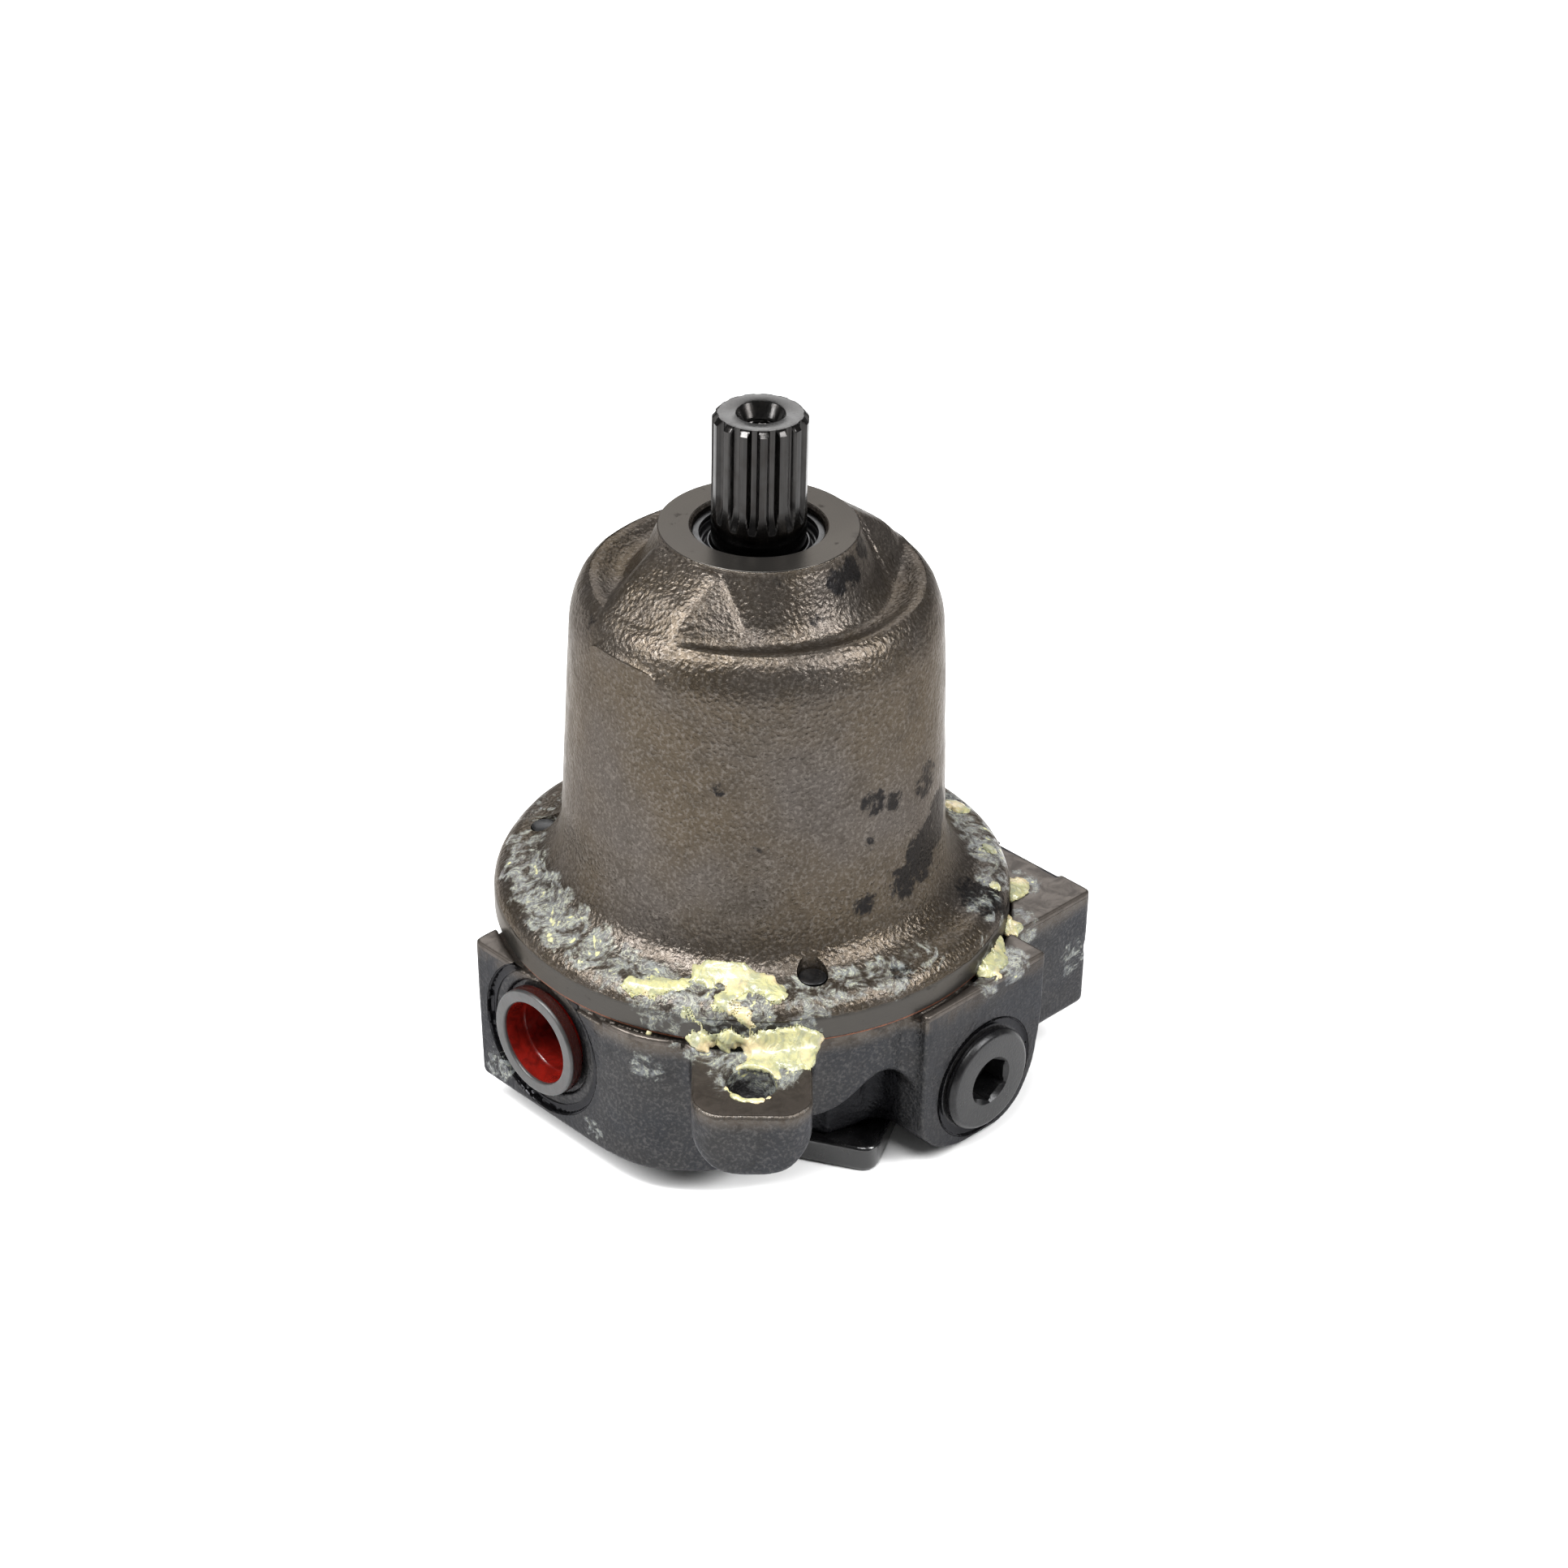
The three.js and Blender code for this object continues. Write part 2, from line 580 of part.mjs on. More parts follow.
function makeCylinderBlock() {
  const body = ring([
    [11.7, BLOCK_BOTTOM], [BLOCK_RADIUS, BLOCK_BOTTOM], [BLOCK_RADIUS, BLOCK_TOP],
    [16, BLOCK_TOP], [16, 62], [11.7, 62],
  ], 36);
  const bores = [];
  for (let i = 0; i < PISTONS; i += 1) {
    const [x, y] = polar(PITCH_RADIUS, boreAngle(i));
    bores.push(disc(PISTON_RADIUS + 0.15, 53, 100, 14).translate(x, y, 0));
    bores.push(disc(3.5, 40, 60, 8).translate(x, y, 0));
  }
  part("cylinder_block", combine(body, { removed: bores }), materials.steel);
}

function boreAngle(i) {
  return 90 + (360 / PISTONS) * i;
}

function makePistons() {
  const ball = [-50, -15, 20, 55].map((angle) => polar(BALL_RADIUS, angle));
  const profile = [
    [0, -40], [PISTON_RADIUS, -40], [PISTON_RADIUS, -8.6], [3.2, -6.6], ...ball, [0, BALL_RADIUS],
  ];
  for (let i = 0; i < PISTONS; i += 1) {
    const [x, y] = polar(PITCH_RADIUS, boreAngle(i));
    part(`piston_${i + 1}`, turned(profile, 14).translate(x, y, TILT_HEIGHT), materials.steel);
  }
}

// A slipper swivels on its piston's ball and runs on the swashplate with its flange.
function makeSlippers() {
  const socket = [76, 45, 10, -22].map((angle) => polar(BALL_RADIUS + 0.5, angle));
  const profile = [
    [1.3, SHOE_FACE], ...socket, [SHOE_NECK_RADIUS, -2],
    [SHOE_NECK_RADIUS, SHOE_FACE - 3], [SHOE_FLANGE_RADIUS, SHOE_FACE - 3],
    [SHOE_FLANGE_RADIUS, SHOE_FACE],
  ];
  for (let i = 0; i < PISTONS; i += 1) {
    const [x, y] = polar(PITCH_RADIUS, boreAngle(i));
    part(`slipper_${i + 1}`, ring(profile, 14).translate(x, y, TILT_HEIGHT), materials.bronze);
  }
}

function makeRetainer() {
  const plate = tube(16.8, 36, TILT_HEIGHT + 3.2, TILT_HEIGHT + 5.2, 36);
  const holes = [];
  for (let i = 0; i < PISTONS; i += 1) {
    const [x, y] = polar(PITCH_RADIUS, boreAngle(i));
    holes.push(disc(SHOE_NECK_RADIUS + 1.5, 100, 120, 14).translate(x, y, 0));
  }
  part("retainer_plate", combine(plate, { removed: holes }), materials.steel);
  const guideRadius = 16.5;
  const zone = [-14, 0, 13, 25].map((angle) => polar(guideRadius, angle));
  const guide = [[11.6, zone[0][1]], ...zone, [11.6, zone[3][1]]];
  part("ball_guide", ring(guide, 24).translate(0, 0, TILT_HEIGHT), materials.steel);
}

function makeBlockSpring() {
  part("block_spring", coil(13.8, 1.3, 62.3, 89.5, 5), materials.steel);
  part("block_snap_ring", tube(12.2, 15.7, 89.8, 90.8, 24), materials.steel);
}

// ---- swashplate and its control -----------------------------------------------------------------

function makeSwashplate() {
  const low = TILT_HEIGHT + SHOE_FACE + GAP;
  const plate = disc(37, low, low + 8, 48);
  const ear = box([-4.2, -41.6, low], [4.2, 41.6, low + 3.6]);
  const runner = disc(CRADLE_RADIUS, -37.3, 37.3, 48).rotateY(Math.PI / 2).translate(0, 0, TILT_HEIGHT);
  const runnerRoom = box([-60, -17, low + 1], [60, 17, 160]);
  const runners = geometryOf(solid(runner).intersect(solid(runnerRoom)));
  const slot = roundedPolygon([[17, -19.6, 12], [17, 19.6, 12], [-17, 19.6, 12], [-17, -19.6, 12]]);
  const middle = box([-26.8, -30, low + 8], [26.8, 30, 160]);
  const swashplate = combine(plate, { added: [ear, runners], removed: [prism(slot, 90, 160), middle] });
  part("swashplate", swashplate, materials.steel);
}

function makeControl() {
  const rodTop = TILT_HEIGHT + SHOE_FACE - 0.2;
  const rod = (headBottom, headTop, headRadius) => turned([
    [0, headBottom], [headRadius, headBottom], [headRadius, headTop], [2.7, headTop],
    [2.7, rodTop - 1.6], [1.4, rodTop - 0.3], [0, rodTop],
  ], 16);
  part("control_piston", rod(12, 31, 7.3).translate(0, CONTROL_RADIUS, 0), materials.steel);
  part("bias_rod", rod(39, 43, 7).translate(0, -CONTROL_RADIUS, 0), materials.steel);
  const spring = coil(5.2, 1, 11.3, 38.7, 6).translate(0, -CONTROL_RADIUS, 0);
  part("bias_spring", spring, materials.steel);
}

makeBell();
makeEndCap();
makeGasket();
makeFlangeBolts();
makeRearCover();
makePortPlug("inlet_port_plug", LEFT, [INLET.face, INLET.y, PORT_HEIGHT]);
makePortPlug("outlet_port_plug", RIGHT, [OUTLET.face, OUTLET.y, PORT_HEIGHT]);
makeHexPlug();
makeValvePlate();
makeSealAndBearings();
makeCradleBearings();
makeShaft();
makeCylinderBlock();
makePistons();
makeSlippers();
makeRetainer();
makeBlockSpring();
makeSwashplate();
makeControl();

export default pump;
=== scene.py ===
"""The looks of an axial piston pump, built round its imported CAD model.

Sizes are in millimetres in the part's own frame, and turn into metres when a mesh is made.
"""

import math

import bmesh
import bpy
import numpy as np
from mathutils import Matrix, Vector, noise


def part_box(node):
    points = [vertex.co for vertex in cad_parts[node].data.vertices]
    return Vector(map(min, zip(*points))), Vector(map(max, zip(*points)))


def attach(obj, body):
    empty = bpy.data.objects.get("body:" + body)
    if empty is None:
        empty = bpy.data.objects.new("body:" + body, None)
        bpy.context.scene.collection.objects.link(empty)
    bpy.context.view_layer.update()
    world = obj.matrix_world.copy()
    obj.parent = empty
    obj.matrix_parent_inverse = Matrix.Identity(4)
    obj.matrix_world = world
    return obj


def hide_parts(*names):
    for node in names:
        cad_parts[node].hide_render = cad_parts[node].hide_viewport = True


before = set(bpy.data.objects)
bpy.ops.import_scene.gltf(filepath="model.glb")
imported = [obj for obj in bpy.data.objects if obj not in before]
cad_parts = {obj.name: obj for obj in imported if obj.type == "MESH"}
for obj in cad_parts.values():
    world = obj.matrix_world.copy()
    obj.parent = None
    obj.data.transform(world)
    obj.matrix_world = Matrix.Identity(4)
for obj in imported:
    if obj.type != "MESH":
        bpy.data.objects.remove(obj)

MM = 0.001
TURN = 2 * math.pi
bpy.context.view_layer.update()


def span(node):
    """Lowest and highest corner of a CAD node, in millimetres."""
    low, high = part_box(node)
    return low / MM, high / MM


# ---- sizes taken from the frame ----

bell_low, bell_high = span("bell_housing")
FLANGE_BOTTOM, NOSE_FACE = bell_low.z, bell_high.z
FLANGE_RADIUS = bell_high.x
CAP_TOP = span("end_cap")[1].z
COVER_TOP = span("rear_cover")[1].z
SHAFT_BOTTOM, SHAFT_TOP = (corner.z for corner in span("drive_shaft"))
PISTON_REACH = 40  # from a piston's ball to its lower end
TILT_HEIGHT = span("piston_1")[0].z + PISTON_REACH

CAP_BOTTOM = COVER_TOP + 0.2
FLANGE_TOP = 63.7
BOLT_TOP = 64.2
FLANGE_BAND_TOP = 57.8
SEAL_RADIUS = 17.5
NOSE_RADIUS = 26.5
SEAL_FLOOR = 153.5
SHAFT_BORE = 15
ROOF = 124
CAVITY_RADIUS = 44.5
BEARING_ROOM = 26.1
BEARING_ROOM_TOP = 146.3
GROOVE = 149.7
SADDLE_RADIUS = 28.8
BOLT_CIRCLE = 59.4
BOLT_ANGLES = (121.7, 241.2, 1.5)
BOLT_RADIUS = 3.9
BOLT_PITCH = 1.25
BOLT_HEAD = {"radius": 6.5, "bottom": 27, "top": 35}
BOLT_RECESS = {"radius": 7.5, "top": 35.3}

INLET = {"y": 8.6, "face": -70.5}
OUTLET = {"y": -39.5, "face": 71.6}
PORT_HEIGHT = 32
PLUG_RADIUS = 15.5
PLUG_FRONT = 2.6
HEX_PORT = {"x": 16.7, "z": 20.5, "face": -74}
SPOTFACE_RADIUS = 21.8
HEX_SPOTFACE_RADIUS = 17.6
# steps of a bore: radius, depth from the port's face
PORT_STEPS = ((SPOTFACE_RADIUS, 1.6), (16.7, 2.8), (13.6, 19), (9, 40))
HEX_STEPS = ((HEX_SPOTFACE_RADIUS, 1), (10.4, 15), (4, 22))
VALVE_RECESS = {"radius": 37.5, "floor": 44.7}
BEARING_POCKET = {"radius": 14.1, "floor": 15.7}
FLOW_PASSAGE = {"x": 26, "half_width": 5, "floor": 26}
CONTROL_BORE = {"y": 40.4, "radius": 7.5, "floor": 11}
LUG_ANGLES = (226, 46)
LUG_HOLE = {"distance": 85.2, "radius": 6.6}
COVER_CORNERS = ((-16.5, -65.6), (49, -29.3), (12.6, 36.3), (-52.9, 0))
COVER_MIDDLE = (-1.95, -14.65)
COVER_SCREW_INSET = 0.3  # share of the way from a corner to the middle
COVER_SCREWS = [tuple(a + COVER_SCREW_INSET * (m - a) for a, m in zip(corner, COVER_MIDDLE))
                for corner in COVER_CORNERS]
COVER_SCREW_HOLE = {"radius": 2.5, "top": 15.5}


def polar(radius, degrees, height=None):
    angle = math.radians(degrees)
    flat = (radius * math.cos(angle), radius * math.sin(angle))
    return flat if height is None else (*flat, height)


def spots(*rows):
    """Rows of (radius, azimuth, height, reach, amount) as (point, reach, amount)."""
    return [(polar(*row[:3]), *row[3:]) for row in rows]


# ---- camera, lights and floor ----

def placed(name, data):
    """A new object in the scene."""
    made = bpy.data.objects.new(name, data)
    bpy.context.scene.collection.objects.link(made)
    return made


def aimed(location, target):
    """A matrix at `location` whose -Z points at `target`."""
    turn = (Vector(target) - Vector(location)).to_track_quat("-Z", "Y")
    return Matrix.Translation(location) @ turn.to_matrix().to_4x4()


CAMERA_LENS = 83.68
CAMERA_PLACE = (-0.59071, -0.59988, 0.60475)  # metres; its azimuth is 225 degrees
CAMERA_RIGHT = (0.7141, -0.6998, 0.0195)
CAMERA_FORWARD = (0.6036, 0.6013, -0.5235)
LIT_POINT = (0, 0, 0.09)
# name, azimuth like the lugs' angles, elevation, distance, width and height in metres, watts
SOFTBOXES = (
    ("softbox_left", 158, 40, 0.9, (0.28, 0.55), 11),
    ("softbox_right", 292, 40, 0.9, (0.28, 0.55), 11),
    ("softbox_top", 212, 68, 1.0, (0.45, 0.3), 8),
    ("softbox_shoulder", 172, 60, 0.9, (0.2, 0.2), 6),
    ("softbox_back", 45, 35, 1.2, (1.0, 0.6), 7),
)
WORLD_STRENGTH = 0.26
FLOOR_REACH = 4


def make_camera():
    data = bpy.data.cameras.new("camera")
    data.sensor_width = 36
    data.lens = CAMERA_LENS
    data.clip_start = 0.01
    camera = placed("camera", data)
    right = Vector(CAMERA_RIGHT).normalized()
    forward = Vector(CAMERA_FORWARD).normalized()
    up = right.cross(forward).normalized()
    right = forward.cross(up)
    camera.matrix_world = Matrix([
        (right[i], up[i], -forward[i], CAMERA_PLACE[i]) for i in range(3)] + [(0, 0, 0, 1)])
    bpy.context.scene.camera = camera


def make_light(name, azimuth, elevation, distance, size, power):
    """A rectangular softbox that looks at the pump's middle."""
    middle = Vector(LIT_POINT)
    flat, rise = polar(distance, elevation)
    data = bpy.data.lights.new(name, "AREA")
    data.shape = "RECTANGLE"
    data.size, data.size_y = size
    data.energy = power
    placed(name, data).matrix_world = aimed(middle + Vector(polar(flat, azimuth, rise)), middle)


def make_studio():
    for softbox in SOFTBOXES:
        make_light(*softbox)
    world = bpy.data.worlds.new("studio")
    world.use_nodes = True
    background = world.node_tree.nodes["Background"]
    background.inputs["Color"].default_value = (1, 1, 1, 1)
    background.inputs["Strength"].default_value = WORLD_STRENGTH
    bpy.context.scene.world = world
    bpy.context.scene.view_settings.view_transform = "Standard"

    mesh = bpy.data.meshes.new("floor")
    corners = [(x * FLOOR_REACH, y * FLOOR_REACH, 0) for x, y in ((-1, -1), (1, -1), (1, 1), (-1, 1))]
    mesh.from_pydata(corners, [], [(0, 1, 2, 3)])
    floor = placed("floor", mesh)
    paper = Finish("paper", (0.86, 0.86, 0.86), roughness=0.9)
    mesh.materials.append(paper.material)


# ---- materials ----

class Finish:
    """A procedural material whose texture coordinates are millimetres in the part's frame."""

    def __init__(self, name, color, metallic=0.0, roughness=0.5, coat=0.0, coat_roughness=0.1, **more):
        """Each name in `more` is a shader socket, with underscores for spaces."""
        self.material = bpy.data.materials.new(name)
        self.material.use_nodes = True
        self.tree = self.material.node_tree
        self.shader = self.tree.nodes["Principled BSDF"]
        more.update(Base_Color=(*color, 1), Metallic=metallic, Roughness=roughness,
                    Coat_Weight=coat, Coat_Roughness=coat_roughness)
        for socket, value in more.items():
            self.shader.inputs[socket.replace("_", " ")].default_value = value
        self.normal = None
        coordinates = self.put("TexCoord").outputs["Object"]
        self.point = self.vector("SCALE", coordinates, scale=1 / MM)
        self.x, self.y, self.z = self.put("SeparateXYZ", {0: self.point}).outputs

    def put(self, kind, inputs=None, **settings):
        node = self.tree.nodes.new("ShaderNode" + kind)
        for name, value in settings.items():
            setattr(node, name, value)
        for name, value in (inputs or {}).items():
            if isinstance(value, bpy.types.NodeSocket):
                self.tree.links.new(value, node.inputs[name])
            else:
                node.inputs[name].default_value = value
        return node

    def vector(self, operation, a, b=None, scale=None):
        inputs = {0: a}
        if b is not None:
            inputs[1] = b
        if scale is not None:
            inputs["Scale"] = scale
        node = self.put("VectorMath", inputs, operation=operation)
        return node.outputs["Value" if operation in ("DISTANCE", "LENGTH") else "Vector"]

    def math(self, operation, a, b=0.0):
        return self.put("Math", {0: a, 1: b}, operation=operation).outputs[0]

    def noise(self, size, detail=3.0, roughness=0.5, distortion=0.0, stretch=(1, 1, 1)):
        """Noise whose features are about `size` millimetres, longer along the axes that `stretch` names."""
        scaled = self.vector("DIVIDE", self.point, tuple(size * s for s in stretch))
        return self.put("TexNoise", {
            "Vector": scaled, "Scale": 1.0, "Detail": detail,
            "Roughness": roughness, "Distortion": distortion,
        }).outputs["Fac"]

    def cells(self, size):
        scaled = self.vector("DIVIDE", self.point, (size,) * 3)
        return self.put("TexVoronoi", {"Vector": scaled, "Scale": 1.0}).outputs["Distance"]

    def ramp(self, value, low=0.3, high=0.7, out_low=0.0, out_high=1.0):
        """A smooth step; the usual range is where most of a noise lies."""
        return self.put("MapRange", {
            "Value": value, "From Min": low, "From Max": high, "To Min": out_low, "To Max": out_high,
        }, interpolation_type="SMOOTHSTEP").outputs["Result"]

    def mix(self, share, a, b):
        """Colour a where share is 0, and colour b where it is 1."""
        colours = [c if isinstance(c, bpy.types.NodeSocket) else (*c, 1) for c in (a, b)]
        node = self.put("Mix", {0: share, 6: colours[0], 7: colours[1]}, data_type="RGBA")
        return node.outputs[2]

    def blend(self, share, a, b):
        """The same for numbers."""
        return self.put("Mix", {0: share, 2: a, 3: b}, data_type="FLOAT").outputs[0]

    def times(self, a, b):
        return self.math("MULTIPLY", a, b)

    def plus(self, a, b):
        return self.math("ADD", a, b)

    def minus(self, a, b):
        return self.math("SUBTRACT", a, b)

    def either(self, *masks):
        result = masks[0]
        for mask in masks[1:]:
            result = self.math("MAXIMUM", result, mask)
        return result

    def near(self, centre, inner, outer):
        """1 within `inner` of a point, and 0 beyond `outer`."""
        return self.ramp(self.vector("DISTANCE", self.point, centre), inner, outer, 1.0, 0.0)

    def radius(self, centre=(0, 0), axes="xy"):
        """Distance from a line that is square to two axes."""
        a, b = (self.minus(getattr(self, axis), c) for axis, c in zip(axes, centre))
        return self.math("SQRT", self.plus(self.times(a, a), self.times(b, b)))

    def patches(self, rows, core, strength=1.0):
        """A mask round points, each (point, reach, share), that is full out to `core` of the reach."""
        return self.either(*(
            self.times(self.near(point, reach * core, reach), share * strength)
            for point, reach, share in rows))

    def bump(self, height, depth):
        """Adds relief `depth` millimetres deep on what is there already."""
        inputs = {"Height": height, "Distance": depth * MM, "Strength": 1.0}
        if self.normal is not None:
            inputs["Normal"] = self.normal
        self.normal = self.put("Bump", inputs).outputs["Normal"]
        self.tree.links.new(self.normal, self.shader.inputs["Normal"])

    def set(self, socket, value):
        self.tree.links.new(value, self.shader.inputs[socket])


GREASE_YELLOW = (0.4, 0.39, 0.19)
# pale colour of the painted highlight lines on grease films
GREASE_HIGHLIGHT = (0.3, 0.31, 0.23)
GREASE_WHITE = (0.15, 0.163, 0.162)
GREASE_DULL = (0.07, 0.076, 0.084)
DIRT = (0.007, 0.007, 0.008)

# where the castings are dirty or greasy; the last number is how much
DIRT_SPOTS = spots(
    (50.5, 263, 107, 9, 0.85), (50.5, 271, 105, 7, 0.85), (50.5, 262, 96, 7, 0.7),
    (50.5, 285, 83, 17, 1.0), (50.5, 297, 88, 16, 1.1), (50.5, 276, 79, 12, 0.95),
    (50.5, 260, 77, 9, 0.85), (50.5, 288, 104, 13, 0.8), (50.5, 215, 116, 5, 0.75),
    (50.5, 226, 98, 6, 0.65), (23, 221, 162, 4, 0.95), (25, 236, 163, 5, 0.95), (29, 272, 161, 8, 1.0),
    (28, 284, 161, 8, 1.05), (33, 254, 155, 6, 0.8), (27, 303, 163, 8, 1.0), (64, 300, 62, 16, 0.95),
    (60, 345, 64, 16, 1.0), (66, 262, 62, 9, 0.8), (50, 160, 148, 9, 0.7),
)
BELL_FILMS = spots(
    (63, 108, 64, 9, 0.7), (63, 118, 64, 10, 0.85), (63, 130, 64, 11, 0.9), (62, 142, 64, 12, 1.0),
    (61, 153, 64, 12, 1.0), (61, 163, 64, 12, 1.05), (61, 173, 64, 12, 1.1), (62, 183, 63, 12, 1.05),
    (64, 193, 63, 11, 1.0), (66, 203, 63, 12, 1.05), (67, 214, 62, 12, 1.1), (66, 226, 62, 13, 1.1),
    (66, 238, 62, 12, 1.0), (64, 248, 64, 10, 0.9), (65, 259, 63, 10, 0.95), (64, 270, 63, 9, 0.75),
    (67, 298, 62, 10, 0.9), (66, 310, 62, 10, 0.9), (65, 322, 62, 12, 1.1), (64, 334, 63, 11, 0.95),
    (63, 344, 63, 12, 1.1), (71, 222, 55, 12, 1.0), (71, 206, 54, 10, 0.85), (71, 236, 54, 9, 0.9),
    (71, 288, 54, 10, 0.8), (71, 318, 54, 10, 0.8),
)
CAP_FILMS = spots(
    (79, 229, 50, 14, 1.1), (74, 222, 50, 12, 1.0), (73, 214, 51, 9, 0.9), (84, 222, 50, 10, 0.85),
    (75, 322, 51, 10, 1.0), (74, 307, 51, 10, 0.9), (74, 292, 51, 11, 1.05), (74, 284, 51, 8, 0.9),
) + [
    ((-67, -30, 42), 8, 0.85), ((-70.5, 26, 14), 9, 0.8), ((-70.5, -12, 14), 6, 0.7),
    ((66, -62, 32), 9, 0.85), ((-45, -75, 35), 7, 0.6),
]


def grease_film(f, colour, films):
    """Grease wiped thinly over the surface near some points, each (point, reach, share)."""
    smear = f.noise(9, 5, 0.6, 2.2, stretch=(1, 1, 0.7))
    fine = f.noise(3.6, 4, 0.55, 1.8)
    cover = f.patches(films, 0.45, 0.74)
    amount = f.plus(cover, f.times(f.minus(smear, 0.5), 1.8))
    amount = f.plus(amount, f.times(f.minus(fine, 0.5), 0.45))
    amount = f.times(amount, f.ramp(cover, 0.02, 0.25))
    film = f.ramp(amount, 0.5, 0.85)
    thick = f.ramp(amount, 0.95, 1.1)
    # thin pale lines along the noise's ridges are painted highlights on the grease film
    highlight_threads = f.math("ABSOLUTE", f.minus(f.noise(5, 4, 0.6, 3.0), 0.5))
    highlight_threads = f.times(f.ramp(highlight_threads, 0.035, 0.008), film)
    tint = f.mix(f.ramp(fine, 0.35, 0.65), GREASE_DULL, GREASE_WHITE)
    colour = f.mix(f.times(film, f.ramp(fine, 0.3, 0.7, 0.35, 0.72)), colour, tint)
    colour = f.mix(f.times(highlight_threads, 0.55), colour, GREASE_HIGHLIGHT)
    return f.mix(f.times(thick, 0.9), colour, GREASE_YELLOW), film


def bell_finish():
    f = Finish("bell_casting", (0.06, 0.05, 0.04), 0.75, Specular_Tint=(0.5, 0.47, 0.44, 1))
    broad = f.noise(38, 3, 0.5)
    patchy = f.noise(9, 4, 0.6, 0.6)
    grain = f.noise(0.95, 3, 0.55)
    pits = f.cells(1.5)
    colour = f.mix(f.ramp(broad, 0.35, 0.65), (0.054, 0.047, 0.042), (0.052, 0.041, 0.029))
    colour = f.mix(f.ramp(patchy, 0.48, 0.75, 0, 0.5), colour, (0.034, 0.028, 0.022))
    colour = f.mix(f.ramp(grain, 0.45, 0.7, 0, 0.55), colour, (0.12, 0.107, 0.095))

    specks = f.noise(3.2, 5, 0.7, 0.8)
    dirt = f.ramp(f.times(f.patches(DIRT_SPOTS, 0.2), specks), 0.3, 0.42)
    colour = f.mix(f.times(dirt, 0.92), colour, DIRT)

    # machined faces: the nose, its rim, and the turned band of the flange
    radius = f.radius()
    face = f.ramp(f.z, NOSE_FACE - 0.25, NOSE_FACE - 0.05)
    ragged = f.plus(radius, f.times(patchy, 0.5))
    band = f.ramp(ragged, FLANGE_RADIUS - 0.15, FLANGE_RADIUS + 0.1)
    machined = f.either(face, band)
    stains = f.ramp(f.noise(4, 4, 0.6), 0.62, 0.7, 0, 0.8)
    rings = f.put("CombineXYZ", {0: f.times(radius, 3.5), 2: f.times(f.z, 3.5)}).outputs[0]
    turned = f.put("TexNoise", {"Vector": rings, "Scale": 1.0, "Detail": 2.0}).outputs["Fac"]
    clean = f.mix(f.ramp(broad), (0.036, 0.034, 0.032), (0.044, 0.041, 0.037))
    clean = f.mix(f.times(stains, 0.6), clean, (0.02, 0.018, 0.016))
    colour = f.mix(machined, colour, clean)

    colour, film = grease_film(f, colour, BELL_FILMS)
    f.set("Base Color", colour)

    rough = f.blend(machined, f.ramp(patchy, 0.3, 0.7, 0.24, 0.36), f.ramp(stains, 0, 1, 0.3, 0.5))
    rough = f.blend(dirt, rough, 0.42)
    f.set("Roughness", f.blend(film, rough, 0.3))
    f.set("Metallic", f.blend(film, 0.8, 0.0))
    cast_share = f.ramp(machined, 0, 1, 1, 0)
    f.bump(f.times(grain, cast_share), 0.26)
    f.bump(f.times(f.ramp(pits, 0.1, 0.7), cast_share), 0.09)
    f.bump(f.times(f.noise(3.6, 3, 0.5), cast_share), 0.14)
    f.bump(f.times(turned, machined), 0.03)
    f.bump(film, 0.07)
    return f.material


